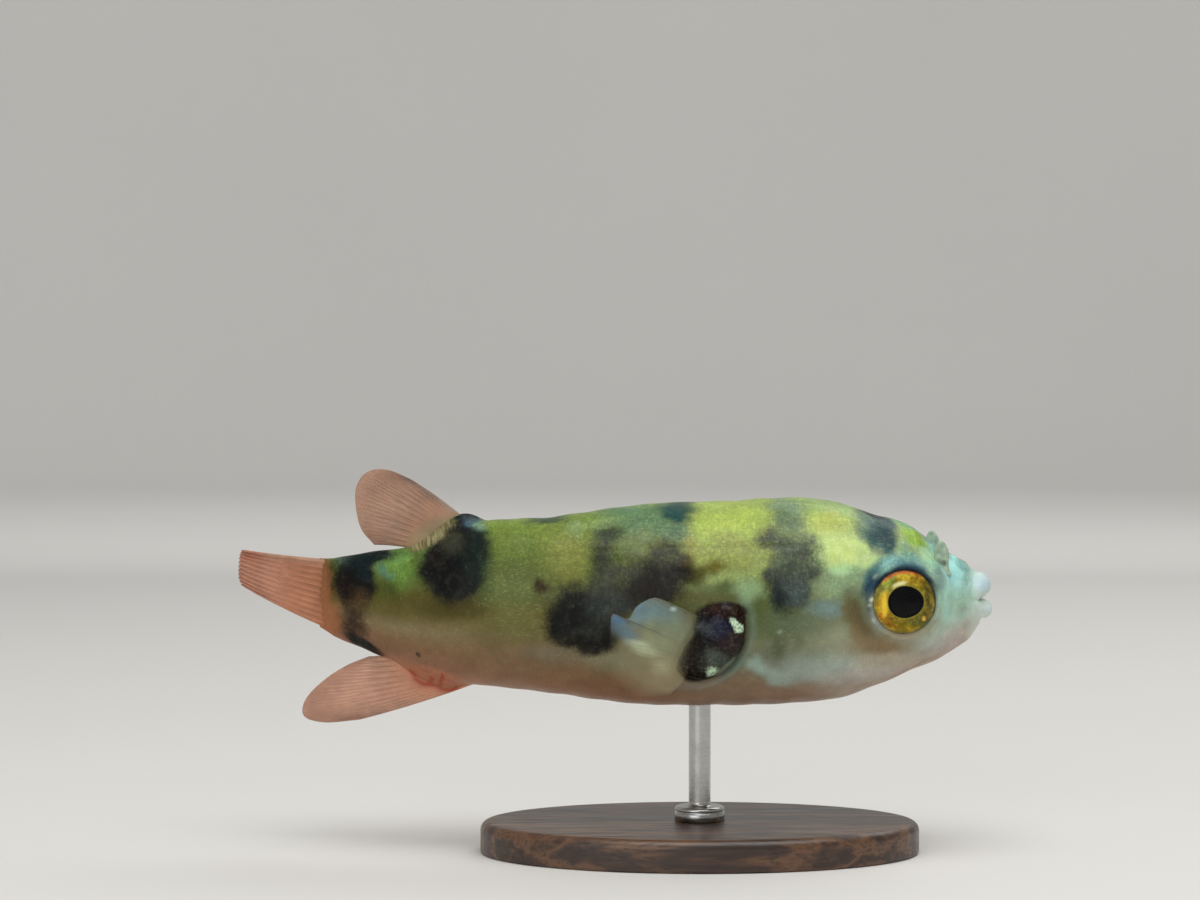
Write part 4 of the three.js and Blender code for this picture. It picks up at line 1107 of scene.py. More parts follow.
def skin_material():
    """Slimy scaleless skin. The painted ground gets grain and pale flecks, the dark patches are
    laid over it with grainy edges, and then the lobes, veins and glints; wet and pimpled."""
    material, tree, shader = new_material("banded puffer skin")
    where = place(tree)
    fine, medium = noise(tree, where, 3600, 2.0, 0.6), noise(tree, where, 1300, 3.0, 0.6)
    upright = stretched_noise(tree, where, (4800, 1500, 1300), 2.0, 0.6)
    level = stretched_noise(tree, where, (2200, 2200, 6200), 2.0, 0.55)
    grain = ramp(
        tree, weighted(tree, (fine, 0.35), (upright, 0.25), (medium, 0.2), (level, 0.2)),
        [(0.36, colour(54, 57, 46)), (0.5, colour(128, 128, 128)), (0.64, colour(208, 214, 192))],
    )

    def grainy(name, amount, softness):
        """A mask from the mesh with its edge broken up."""
        return use_group(tree, GRAINY, Mask=field(tree, name), Grain=amount, Softness=softness)["Mask"]

    def textured(tint, strength):
        """Grain over a colour: fine dots, uprights and clouds, dark and light."""
        return blend(tree, strength, tint, grain, "OVERLAY")

    tint = textured(painted(tree, "ground"), times(tree, field(tree, "wet"), 0.5))
    # Pale flecks, partly painted glints.
    flecks = times(tree, remap(tree, level, 0.56, 0.68), field(tree, "flecks_and_glints"))
    tint = laid(tree, tint, colour(168, 184, 122), flecks, 0.25)
    # Ribs of tan flesh at the dorsal fin's root run with its rays.
    ribs = [
        vector_maths(tree, "DOT_PRODUCT", where, direction)["Value"]
        for direction in ((3600.0, 0.0, 900.0), (-150.0, 0.0, 500.0))
    ]
    ribbed = remap(tree, flat_noise(tree, *ribs, 2.0, 0.5), 0.4, 0.6)
    tan = blend(tree, ribbed, colour(106, 90, 62), colour(162, 150, 114))
    tint = laid(tree, tint, tan, grainy("dorsal_flesh", 0.3, 0.4), 0.85)
    flesh = laid(tree, colour(184, 118, 88), colour(158, 52, 30), field(tree, "anal_veins"), 0.9)
    tint = laid(tree, tint, textured(flesh, 0.3), field(tree, "anal_flesh"), 0.95)
    tint = laid(tree, tint, colour(84, 92, 48), field(tree, "lateral"), 0.25)
    dust = remap(tree, medium, 0.48, 0.72)
    mark = laid(tree, textured(painted(tree, "mark_colour"), 0.6), colour(122, 126, 108), dust, 0.06)
    for name, amount, softness in (("dark", 0.5, 0.44), ("lobe", 0.2, 0.3)):
        tint = blend(tree, grainy(name, amount, softness), tint, mark)
    lobe = field(tree, "lobe")
    specks = times(tree, remap(tree, fine, 0.5, 0.66), lobe)
    tint = laid(tree, tint, colour(112, 98, 88), specks, 0.18)
    broken = weighted(tree, (remap(tree, fine, 0.4, 0.55), 0.5), start=0.5)
    tint = laid(tree, tint, colour(208, 234, 200), grainy("glint", 0.6, 0.4), broken)
    set_shader(
        shader, Subsurface_Weight=0.12, Subsurface_Radius=(1.0, 0.6, 0.4), Subsurface_Scale=1.2 * MM,
        Specular_IOR_Level=0.14, Coat_Roughness=0.15,
    )
    finish_surface(
        tree, shader, use_group(tree, RELIEF, Scale=1.0)["Height"], 0.05, Base_Color=tint,
        Roughness=weighted(tree, (fine, 0.16), (lobe, -0.1), start=0.32),
        Coat_Weight=times(tree, field(tree, "wet"), 0.08),
    )
    return material


# ---------- Fins ----------

FIN_ROWS, FIN_COLUMNS = 361, 48
CAUDAL_RAYS = 11
# Half thicknesses: of the membrane, what a ray adds and loses again towards its tip, and what the
# root adds.
FIN_HALF = {"membrane": 0.09, "ray": 0.11, "ray_loss": 0.06, "root": 0.12}


def branching(across, outward, rays):
    """Height of the rays: each is a ridge down the middle of its strip, which forks into two
    and later into four as its distance from the middle is folded about each fork's spread."""
    strip = np.abs((across * rays) % 1 - 0.5)
    once = np.abs(strip - 0.25 * ease(outward, 0.28, 0.72))
    twice = np.abs(once - 0.125 * ease(outward, 0.55, 0.98))
    width = 0.15 - 0.1 * ease(outward, 0.05, 0.7)
    return np.exp(-((twice / width) ** 2))


def fin_piece(node, fin, rays, paint, material, side_at, bow=0.0, thick=1.0, tail=True):
    """A fin: its rays run from the root line to the tip line with a slight bow. It is two
    faces that meet along the edge, thicker on the rays (thick times as much) and thinning
    outwards. paint gives the membrane's colour and how solid it is at each place, side_at gives
    the fin's place sideways, and tail says whether it swings with the tail."""
    across, outward = np.meshgrid(
        np.linspace(0, 1, FIN_ROWS),
        spaced(0, 1, FIN_COLUMNS, lambda u: 1 + 2 * ease(u, 0.9, 1)),
        indexing="ij",
    )
    root, tip = (curve_through(fin[line], across) for line in ("roots", "tips"))
    reach = tip - root
    flat = root + reach * (outward - 0.1 * (1 - outward))[..., None]
    flat[..., 0] -= bow * reach[..., 1] * outward * (1 - outward)
    flat[..., 1] += bow * reach[..., 0] * outward * (1 - outward)
    ridges = branching(across, outward, rays)
    edge = np.sqrt(np.clip(1 - outward ** 14, 0, 1)) * np.sqrt(1 - (2 * across - 1) ** 24)
    raised = thick * (FIN_HALF["ray"] - FIN_HALF["ray_loss"] * outward) * ridges
    raised = raised * ease(outward, 0.18, 0.45)
    half = (FIN_HALF["membrane"] + raised + FIN_HALF["root"] * (1 - ease(outward, 0, 0.25))) * edge
    middle = np.stack([flat[..., 0], side_at(outward, across), flat[..., 1]], -1)
    inner = np.zeros((FIN_ROWS, FIN_COLUMNS), bool)
    inner[1:-1, 1:-1] = True
    offset = np.zeros_like(middle)
    offset[..., 1] = half * inner
    near = np.arange(inner.size).reshape(inner.shape)
    far = near.copy()
    far[inner] = inner.size + np.arange(inner.sum())
    points = np.concatenate([(middle + offset).reshape(-1, 3), (middle - offset)[inner]])

    def quads(index):
        """Four corners of every cell of a grid of point numbers."""
        corners = [index[:-1, :-1], index[1:, :-1], index[1:, 1:], index[:-1, 1:]]
        return np.stack(corners, -1).reshape(-1, 4)

    faces = np.concatenate([quads(near), quads(far)[:, ::-1]])
    kept = {"ray": ridges * ease(outward, 0.12, 0.4), "across": across, "outward": outward}
    kept = {name: values.ravel() for name, values in kept.items()}
    x, z = flat.reshape(-1, 2).T
    kept["sheet"], kept["solid"] = paint(x, z, kept["across"], kept["outward"])
    fields = {name: np.concatenate([values, values[inner.ravel()]]) for name, values in kept.items()}
    if tail:
        points = swung(points)
    no_triangles = np.zeros((0, 3), int)
    make_piece(node, points, (faces, no_triangles), fields, material, [node])


def ray_group():
    """Fin tissue: ray colour on the ridges over a membrane, thin fibres that run with the rays,
    faint cross joints on the rays, and how solid the tissue is."""
    white = (1, 1, 1, 1)
    group, given, result = new_group(
        "ray tissue",
        {"Ray": ("Float", 0.0), "Across": ("Float", 0.0), "Outward": ("Float", 0.0),
         "Sheet": ("Color", white), "Solid": ("Float", 1.0), "Ray Colour": ("Color", white),
         "Strength": ("Float", 1.0)},
        {"Colour": ("Color", None), "Alpha": ("Float", None), "Height": ("Float", None)},
    )
    cloud = noise(group, place(group), 500, 4.0, 0.6)
    along_rays = times(group, given["Across"], 210.0), times(group, given["Outward"], 4.0)
    fibres = flat_noise(group, *along_rays, 3.0, 0.6)
    joints = maths(group, "SINE", times(group, given["Outward"], 210.0))
    joints = times(group, weighted(group, (joints, 0.5), start=0.5), given["Ray"])
    jointed = weighted(group, (joints, -0.3), start=given["Ray"])
    dark = weighted(group, (jointed, 0.35), (remap(group, fibres, 0.42, 0.7), 0.5))
    dark = maths(group, "MINIMUM", times(group, dark, given["Strength"]), 1.0)
    lit = add_node(
        group, "ShaderNodeVectorMath", {"operation": "SCALE"},
        Vector=blend(group, dark, given["Sheet"], given["Ray Colour"]),
        Scale=remap(group, cloud, 0.3, 0.7, 0.88, 1.12),
    ).outputs[0]
    firm = times(group, given["Solid"], weighted(group, (dark, 0.35), start=1.0))
    plug_in(group, result["Colour"], lit)
    plug_in(group, result["Alpha"], maths(group, "MINIMUM", firm, 0.98))
    plug_in(group, result["Height"], jointed)
    return group


RAY_TISSUE = ray_group()


def fin_material(name, ray, strength):
    """Thin fin tissue that reads its membrane's colour and how solid it is from the mesh. The
    strength is how plainly the rays show."""
    material, tree, shader = new_material(name)
    tissue = use_group(
        tree, RAY_TISSUE, Ray=field(tree, "ray"), Across=field(tree, "across"),
        Outward=field(tree, "outward"), Sheet=painted(tree, "sheet"), Solid=field(tree, "solid"),
        Ray_Colour=colour(*ray), Strength=strength,
    )
    set_shader(shader, Specular_IOR_Level=0.25, Coat_Weight=0.08, Coat_Roughness=0.2)
    finish_surface(
        tree, shader, tissue["Height"], 0.025, Base_Color=tissue["Colour"], Alpha=tissue["Alpha"],
        Roughness=remap(tree, noise(tree, place(tree), 1800), 0.3, 0.7, 0.34, 0.5),
    )
    return material


def dorsal_paint(x, z, across, outward):
    """Rosy tan, greyer along the front edge and olive where it leaves the flesh."""
    sheet = layered(tone(194, 150, 122), (
        ((180, 134, 106), 1 - ease(outward, 0.1, 0.6)),
        ((172, 150, 134), 1 - ease(across, 0.02, 0.2)),
        ((176, 128, 96), ease(across, 0.75, 1.0)),
        ((152, 126, 92), 0.8 * (1 - ease(outward, 0.08, 0.24))),
        ((158, 140, 104), oval_mark(x, z, (-26.7, 32.3, 3.0, 0.85, 0.6, 0.9, 27))),
    ))
    return sheet, 0.68 + 0.2 * (1 - ease(outward, 0.1, 0.5))


def anal_paint(x, z, across, outward):
    """Salmon, with a red flush by the flesh."""
    off = off_veins(x, z)
    sheet = layered(tone(218, 168, 138), (
        ((200, 150, 122), ease(outward, 0.65, 1.0)),
        ((214, 150, 114), 0.8 * (1 - ease(outward, 0.1, 0.7))),
        ((196, 112, 78), 0.7 * bell(off, 0, 0.6)),
        ((164, 56, 32), 0.95 * bell(off, 0, 0.2)),
    ))
    return sheet, 0.7 + 0.2 * (1 - ease(outward, 0.1, 0.5))


def caudal_paint(x, z, across, outward):
    """Salmon, orange tan at the root, greyish along the upper edge with a red upper tip."""
    sheet = layered(tone(214, 156, 128), (
        ((192, 130, 96), 0.9 * (1 - ease(outward, 0.25, 0.8))),
        ((158, 102, 68), 1 - ease(outward, 0.14, 0.5)),
        ((186, 154, 132), 0.7 * (1 - ease(across, 0.02, 0.16)) * ease(outward, 0.0, 0.3)),
        ((206, 112, 86), 0.6 * bell(outward, 0.9, 0.12) * (1 - ease(across, 0.1, 0.4))),
    ))
    return sheet, 0.78 + 0.16 * (1 - ease(outward, 0.2, 0.7))


# The pectoral fin's washes: a colour, how solid it is there, and the oval.
PECTORAL_WASHES = [
    ((160, 152, 118), 0.32, (-4.6, 20.0, 3.0, 2.6, 0.85, 1.0, 0)),
    ((162, 166, 130), 0.6, (-4.3, 22.4, 2.8, 1.7, 0.8, 1.0, -12)),
    ((140, 152, 122), 0.7, (-3.8, 24.2, 2.8, 1.5, 0.6, 1.0, -20)),
    ((124, 152, 156), 0.76, (-4.9, 25.4, 2.4, 1.0, 0.8, 0.9, -14)),
    ((120, 152, 166), 0.78, (-6.4, 24.9, 1.0, 1.3, 0.8, 0.8, -35)),
    # painted highlight on the upper edge
    ((200, 224, 222), 0.85, (-2.9, 25.35, 0.3, 0.22, 0.7, 0.9, 0)),
    ((94, 130, 158), 0.85, (-8.3, 24.1, 0.8, 1.1, 0.5, 1.0, 30)),
    ((104, 134, 150), 0.72, (-7.5, 23.0, 1.3, 0.7, 0.8, 1.0, -35)),
    # painted highlights: glints on the lower part, this line and the next two
    ((206, 216, 184), 0.7, (-6.4, 22.0, 1.1, 0.36, 0.9, 0.9, -12)),
    ((196, 206, 168), 0.66, (-5.6, 21.3, 1.3, 0.5, 0.9, 0.9, -14)),
    ((190, 186, 146), 0.58, (-3.9, 19.9, 1.1, 0.9, 0.9, 0.8, 0)),
]


def pectoral_paint(x, z, across, outward):
    """A bluish upper lobe, a bright blue ray tip, glints, and a lower part that is nearly clear."""
    sheet, solid = tone(150, 140, 104), 0.16
    for shade, firm, oval in PECTORAL_WASHES:
        cover = oval_mark(x, z, oval)
        sheet = washed(sheet, shade, cover)
        solid = solid + cover * (firm - solid)
    lower = ease(across, 0.42, 0.58)
    solid = solid * (1 - 0.8 * lower * ease(outward, 0.6, 1.0)) * (0.15 + 0.85 * ease(outward, 0.05, 0.24))
    return sheet, solid


def make_fins():
    """The five fins, each with a slight ripple of its own. The inner functions give the place
    sideways from how far out (u) and how far across the fin (v) a point is."""
    def rippled(depth, waves, phase):
        """Waves across the fin that grow outwards."""
        return lambda u, v: depth * u * np.sin(waves * v + phase)

    def fluted(u, v):
        """Small folds between the caudal rays on one slow wave."""
        return 0.08 * u * np.cos(2 * np.pi * CAUDAL_RAYS * v) + 0.15 * u * np.sin(5 * v)

    def standing_out(side):
        """A fan that flares away from the flank, most along its middle rays, with fine waves."""
        def side_at(u, v):
            """The distance from the midline, on the fan's own side."""
            flare = PECTORAL_FLARE * u ** 0.85 * (1 - 0.35 * (2 * v - 1) ** 2)
            return side * (PECTORAL_ROOT_SIDE + flare + 0.12 * u * np.sin(16 * v))
        return side_at

    dorsal = fin_material("dorsal fin tissue", (150, 108, 84), 1.0)
    fin_piece("dorsal_fin", DORSAL_FIN, 14, dorsal_paint, dorsal, rippled(0.22, 7.0, 0.4), bow=-0.1)
    anal = fin_material("anal fin tissue", (184, 116, 86), 0.7)
    fin_piece("anal_fin", ANAL_FIN, 13, anal_paint, anal, rippled(0.2, 6.0, 2.0), bow=0.06)
    caudal = fin_material("caudal fin tissue", (186, 116, 84), 0.6)
    fin_piece("caudal_fin", CAUDAL_FIN, CAUDAL_RAYS, caudal_paint, caudal, fluted)
    pectoral = fin_material("pectoral fin tissue", (156, 162, 138), 0.4)
    for name, side in SIDES:
        fin_piece(f"pectoral_fin_{name}", PECTORAL_FIN, 12, pectoral_paint, pectoral, standing_out(side),
                  thick=0.35, tail=False)


# ---------- Eyes ----------

IRIS = {"pupil": 1.86, "limbus": 3.0, "inner_level": 2.42, "outer_level": 1.95}
# The eyeball's depth behind its centre, its half width, and the top of the pupil.
EYEBALL = {"deep": 2.7, "wide": 3.95, "top": 2.73}
# The clear dome: its inner level, the level of its rim, its rise over that, and its radius.
CORNEA = {"floor": 1.2, "rim": 1.72, "rise": 1.26, "radius": 3.26}


def eye_profile():
    """Half outline of the eyeball from its back to the middle of the pupil, as radius, height
    and what it is: 0 the iris's inner edge and 1 its outer, under -0.2 the pupil."""
    deep, wide = EYEBALL["deep"], EYEBALL["wide"]
    back = [(r, -deep * math.sqrt(1 - (r / wide) ** 2), 2) for r in (0.6, 1.6, 2.6, 3.3, 3.8)]
    flank = [(wide, 0.0, 2), (3.85, 0.7, 2), (3.55, 1.25, 1.6), (3.2, 1.75, 1.2)]
    span = IRIS["limbus"] - IRIS["pupil"]
    rise = IRIS["inner_level"] - IRIS["outer_level"]
    iris = [(IRIS["pupil"] + span * s, IRIS["inner_level"] - rise * s ** 1.6, s)
            for s in np.linspace(1, 0, 26)]
    pupil = [(IRIS["pupil"] - 0.06, IRIS["inner_level"] - 0.05, -0.1),
             (1.5, 2.46, -0.5), (1.0, 2.62, -1), (0.5, 2.7, -1), (0.15, 2.72, -1)]
    return np.array(back + flank + iris + pupil)


def place_by_eye(points, side):
    """Points given as (forward, up, outward) from an eye's centre, put in the fish's frame."""
    centre, outward, forward, up = eye_frame(side)
    axes = np.stack([forward, up, outward])
    return centre + points @ axes


def make_eyes():
    """Each eye is a turned ball with a flat gold iris, under a clear dome."""
    turns = full_turn(160)
    profile = eye_profile()
    rings = turned_points(profile[:, :2], turns)
    near_pupil = (1 - ease(profile[:, 0], IRIS["pupil"], 2.6))[:, None]
    rings[..., 1] *= 1 - (0.14 + 0.05 * np.cos(turns)) * near_pupil
    poles = np.array([(0, 0, -EYEBALL["deep"]), (0, 0, EYEBALL["top"])])
    forward, up, _ = with_poles(rings, *poles).T
    fields = {
        "ring": np.append(np.repeat(profile[:, 2], len(turns)), [2, -1]),
        "iris": iris_paint(forward, up),
    }
    dome = cornea_rings(turns)
    dome_poles = np.array([(0, 0, CORNEA["floor"]), (0, 0, CORNEA["rim"] + CORNEA["rise"])])
    iris, cornea = iris_material(), cornea_material()
    for name, side in SIDES:
        node = f"eye_{name}"
        make_ringed(
            node, place_by_eye(rings, side), place_by_eye(poles, side), fields, iris, [node]
        )
        make_ringed(
            f"cornea_{name}", place_by_eye(dome, side), place_by_eye(dome_poles, side), {}, cornea,
            [node],
        )


def cornea_rings(turns):
    """A clear dome over the iris: an arc of height over its rim, on a flat floor."""
    radius = np.concatenate([[1.0, 3.0], np.linspace(3.24, 0.2, 22)])
    swell = np.clip(1 - (radius / CORNEA["radius"]) ** 2, 0, 1) ** 0.62
    height = CORNEA["rim"] + CORNEA["rise"] * swell
    height[:2] = (CORNEA["floor"], CORNEA["floor"] + 0.1)
    return turned_points(np.stack([radius, height], -1), turns)


# The iris's washes over gold, from the eye's middle forwards and up: a colour and its ovals.
IRIS_WASHES = [
    ((208, 180, 54), [(-2.3, -0.6, 0.8, 1.6, 0.6, 0.9, 0), (0.2, 2.4, 2.2, 0.5, 0.7, 0.9, 0)]),
    ((148, 166, 78), [(-1.9, 1.7, 1.1, 0.55, 0.7, 0.9, 48), (0.9, -2.0, 0.9, 0.35, 0.8, 0.6, 20)]),
    ((146, 132, 58), [(2.4, 0.5, 0.6, 1.8, 0.6, 0.95, 6), (-2.75, 0.8, 0.3, 0.8, 0.7, 0.8, -14)]),
    ((108, 100, 42), [(2.2, 0.6, 0.22, 1.1, 0.7, 0.8, 8)]),
    ((136, 132, 54), [(1.2, -1.7, 1.3, 0.4, 0.7, 0.95, 38), (0.6, -2.1, 0.8, 0.5, 0.8, 0.8, 10)]),
    ((104, 112, 44), [(1.9, -2.1, 0.7, 0.4, 0.7, 0.9, 45)]),
    ((198, 172, 66), [(2.85, -0.4, 0.16, 0.7, 0.7, 0.9, 8)]),
    ((184, 158, 36), [(-0.4, -2.5, 1.5, 0.4, 0.7, 0.9, 0)]),
    ((160, 120, 28), [(-1.9, -1.7, 0.8, 0.6, 0.8, 0.9, -45), (1.3, 2.2, 0.9, 0.3, 0.8, 0.7, -30)]),
    ((204, 120, 30), [(-1.75, -2.05, 0.28, 0.14, 0.8, 0.7, -30), (-1.1, -2.35, 0.22, 0.12, 0.8, 0.6, 0)]),
    ((214, 128, 34), [(-2.5, -1.3, 0.16, 0.3, 0.8, 0.9, 0)]),
    ((238, 202, 60), [(-2.15, -0.35, 0.45, 1.3, 0.7, 0.9, 0)]),
    ((255, 230, 84), [(-2.15, -0.35, 0.26, 1.1, 0.5, 1.0, 0)]),
    # painted highlight by the top of the pupil
    ((250, 246, 200), [(-0.6, 1.78, 0.62, 0.2, 0.6, 1.0, 12), (-1.15, 1.5, 0.3, 0.18, 0.8, 0.8, 40)]),
    # painted highlight: a small spark low in front
    ((252, 208, 100), [(1.88, -1.68, 0.22, 0.26, 0.5, 1.0, 0)]),
]


def iris_paint(forward, up):
    """The iris's colour: gold with its washes, among them painted highlights, an orange rim over
    the top, and an outer edge that is navy painted shade under the lid above and in front,
    and brown below and behind."""
    away, turn = np.hypot(forward, up), np.degrees(np.arctan2(up, forward))
    over_top = 1 - ease(np.abs(turn - 98), 28, 50)
    shaded = 1 - ease(np.abs(turn - 76), 66, 96)
    return layered(tone(186, 162, 50), (
        *covered(forward, up, IRIS_WASHES),
        ((216, 120, 52), 0.9 * over_top * ease(away, 2.72, 2.88)),
        # painted shade from the lid over the iris's edge
        ((34, 44, 54), shaded * ease(away, 2.92, 3.1)),
        ((182, 172, 138), (1 - shaded) * ease(away, 2.98, 3.12)),
    ))


def iris_material():
    """Metallic iris with its painted colours broken into flakes, round a black pupil."""
    material, tree, shader = new_material("gold iris")
    ring = field(tree, "ring")
    flakes = noise(tree, place(tree), 3200, 3.0, 0.6)
    broken = weighted(tree, (flakes, 0.5), (noise(tree, place(tree), 1300, 2.0), 0.5))
    grain = ramp(tree, broken, [(0.38, colour(58, 62, 44)), (0.5, colour(128, 128, 128)),
                                (0.63, colour(226, 224, 190))])
    tint = blend(tree, 0.62, painted(tree, "iris"), grain, "OVERLAY")
    tint = laid(tree, tint, colour(168, 164, 70), remap(tree, ring, 0.16, 0.0), 0.55)
    in_pupil = remap(tree, ring, -0.02, -0.1)
    tint = blend(tree, in_pupil, tint, colour(4, 5, 6))
    set_shader(shader, Specular_IOR_Level=0.1)
    finish_surface(
        tree, shader, broken, 0.04, Base_Color=tint, Roughness=remap(tree, flakes, 0.3, 0.7, 0.3, 0.5),
        Metallic=weighted(tree, (in_pupil, -0.15), start=0.15),
    )
    return material


def cornea_material():
    """A clear wet surface: a mirror as solid as glass reflects at each angle."""
    material, tree, shader = new_material("clear cornea")
    tint = ramp(tree, noise(tree, place(tree), 300), [(0, (0.96, 0.98, 1, 1)), (1, (1, 1, 1, 1))])
    plug_in(tree, shader.inputs["Base Color"], tint)
    set_shader(shader, Metallic=1.0, Roughness=0.04)
    shine = add_node(tree, "ShaderNodeFresnel", IOR=1.13).outputs[0]
    plug_in(tree, shader.inputs["Alpha"], shine)
    return material


# ---------- Nasal flaps ----------

# How much lower each flap's tip is than its solid, and the flaps' half widths and thicknesses.
FLAP_DROOP = {"left": 0.0, "right": 0.5}
FLAP = {"wide": 0.62, "swell": 0.12, "foot_wide": 0.3, "thick": 0.2, "foot_thick": 0.18}


def make_nasal_flaps():
    """A flat papilla over each nostril: an upright leaf, widest above its middle, with a
    shallow dent in its outer face, growing from a spread foot."""
    material = nasal_material()
    along, turns = np.linspace(0.02, 0.98, 34), full_turn(40)
    round_off = np.sqrt(1 - np.clip(2.4 * along - 1.4, 0, 1) ** 2.2)
    wide = FLAP["wide"] + FLAP["swell"] * np.sin(np.pi * along ** 1.6)
    wide = (wide + FLAP["foot_wide"] * (1 - ease(along, 0, 0.22))) * round_off
    thick = (FLAP["thick"] + FLAP["foot_thick"] * (1 - ease(along, 0, 0.35))) * round_off
    dent = 1 - 0.35 * bell(along, 0.62, 0.22)[:, None] * np.abs(np.sin(turns)) ** 3
    across = np.tile(np.cos(turns), len(along))
    fields = {
        "flap_edge": np.append(np.abs(across), [0, 1]),
        "flap_up": np.append(np.repeat(along, len(turns)), [0, 1]),
        "flap_across": np.append(across, [0, 0]),
    }
    for name, side in SIDES:
        node = f"nasal_flap_{name}"
        low, high, middle = box_mm(node)
        out = abs(middle[1])
        foot = np.array([middle[0] + 0.15, side * (out - 0.25), low[2] - 0.2])
        top = np.array([middle[0] - 0.1, side * (out + 0.15), high[2] - FLAP_DROOP[name]])
        line = foot + (top - foot) * along[:, None]
        rings = np.repeat(line[:, None], len(turns), 1)
        rings[..., 0] += wide[:, None] * np.cos(turns)
        rings[..., 1] += side * thick[:, None] * np.sin(turns) * dent
        make_ringed(node, rings, (foot, top + [0, 0, 0.02]), fields, material, [node])


def nasal_material():
    """Thin grey-green flesh with a darker outline and two soft dark nostril spots."""
    material, tree, shader = new_material("nasal flap skin")
    grain = noise(tree, place(tree), 1600)
    tint = ramp(tree, grain, [(0.3, colour(138, 164, 144)), (0.7, colour(184, 204, 180))])
    dots = remap(tree, noise(tree, place(tree), 2600, 2.0), 0.6, 0.7)
    tint = laid(tree, tint, colour(84, 96, 78), dots, 0.5)
    tint = laid(tree, tint, colour(90, 118, 104), remap(tree, field(tree, "flap_edge"), 0.8, 1.0), 0.25)
    across, up = field(tree, "flap_across"), field(tree, "flap_up")
    spot_wide, spot_tall = 0.4, 0.09
    for spot_across, spot_up, strength in ((0.25, 0.36, 0.7), (-0.35, 0.42, 0.45)):
        sideways = weighted(tree, (across, 1 / spot_wide), start=-spot_across / spot_wide)
        upwards = weighted(tree, (up, 1 / spot_tall), start=-spot_up / spot_tall)
        away = weighted(tree, (sideways, sideways), (upwards, upwards))
        tint = laid(tree, tint, colour(58, 66, 40), remap(tree, away, 1.6, 0.0), strength)
    set_shader(shader, Coat_Weight=0.1, Coat_Roughness=0.2)
    finish_surface(
        tree, shader, use_group(tree, RELIEF, Scale=1.0)["Height"], 0.03, Base_Color=tint,
        Roughness=remap(tree, grain, 0.3, 0.7, 0.3, 0.45),
    )
    return material


# ---------- The stand ----------

# Radii of the base's rounded top edge and eased bottom edge.
BASE_ROUND = {"top": 0.9, "bottom": 0.35}
# The rod's radius, the fillet where it leaves its foot, the foot's height, and how far the foot's
# rounded shoulder reaches down and in.
ROD = {"radius": 1.1, "fillet": 0.35, "foot": 1.5, "shoulder": 0.34, "inset": 0.4}


def end_poles(low, high):
    """The middle of a solid's underside and of its top."""
    x, y, _ = (low + high) / 2
    return (x, y, low[2]), (x, y, high[2])


def make_base():
    """An oval wooden foot: its edge is rounded over at the top and eased at the bottom. Each
    ring is the solid's oval, moved inwards by the profile's inset."""
    low, high, middle = box_mm("stand_base")
    half, tall = (high - low) / 2, high[2] - low[2]
    quarter = np.linspace(0, np.pi / 2, 10)
    top, bottom = BASE_ROUND["top"], BASE_ROUND["bottom"]
    profile = [
        *((inset, 0.0) for inset in (12.0, 6.0, 1.5)),
        *((bottom * (1 - np.sin(a)), bottom * (1 - np.cos(a))) for a in quarter),
        *((top * (1 - np.cos(a)), tall - top * (1 - np.sin(a))) for a in quarter),
        *((inset, tall) for inset in (2.0, 6.0, 12.0)),
    ]
    inset, height = np.array(profile).T[..., None]
    turns = full_turn(200)
    x = middle[0] + (half[0] - inset) * np.cos(turns)
    y = middle[1] + (half[1] - inset) * np.sin(turns)
    rings = np.stack([x, y, np.broadcast_to(low[2] + height, x.shape)], -1)
    make_ringed(
        "stand_base", rings, end_poles(low, high), {}, walnut_material(), ["stand_base"]
    )


def make_rod():
    """A turned steel rod on a wider foot with a soft shoulder and a fine groove: a profile of
    (radius, height) carried round its axis."""
    low, high, middle = box_mm("stand_rod")
    foot, tall = (high[0] - low[0]) / 2, high[2] - low[2]
    radius, fillet, step, shoulder, inset = ROD.values()
    quarter = np.linspace(0, np.pi / 2, 8)
    profile = [
        (0.5, 0.0), (foot, 0.0), (foot, 0.9), (foot - 0.12, 0.98), (foot - 0.12, 1.06), (foot, 1.14),
        *((foot - inset * (1 - math.cos(a)), step - shoulder * (1 - math.sin(a))) for a in quarter),
        *((radius + fillet * (1 - math.sin(a)), step + fillet * (1 - math.cos(a))) for a in quarter),
        *((radius, height) for height in np.linspace(2.0, tall - 0.1, 20)),
        (radius - 0.1, tall), (0.5, tall),
    ]
    rings = turned_points(profile, full_turn(96)) + [middle[0], middle[1], low[2]]
    make_ringed(
        "stand_rod", rings, end_poles(low, high), {}, steel_material(), ["stand_rod"]
    )


def walnut_material():
    """Dark walnut: long wavy rings across the plank, short dark pores along it, satin varnish."""
    material, tree, shader = new_material("satin walnut")
    where = place(tree)
    warp = stretched_noise(tree, where, (14, 160, 160), 4.0, 0.55)
    rings = weighted(tree, (maths(tree, "SINE", times(tree, warp, 46.0)), 0.5), start=0.5)
    pores = stretched_noise(tree, where, (220, 4200, 4200), 3.0, 0.6)
    wood = [(0.0, colour(52, 34, 24)), (0.5, colour(78, 52, 36)), (1.0, colour(104, 72, 48))]
    tint = ramp(tree, rings, wood)
    tint = laid(tree, tint, colour(34, 22, 16), remap(tree, pores, 0.5, 0.62), 0.6)
    set_shader(shader, Coat_Weight=0.3, Coat_Roughness=0.25)
    finish_surface(
        tree, shader, weighted(tree, (rings, 0.25), start=pores), 0.03, Base_Color=tint,
        Roughness=remap(tree, pores, 0.35, 0.65, 0.36, 0.5),
    )
    return material


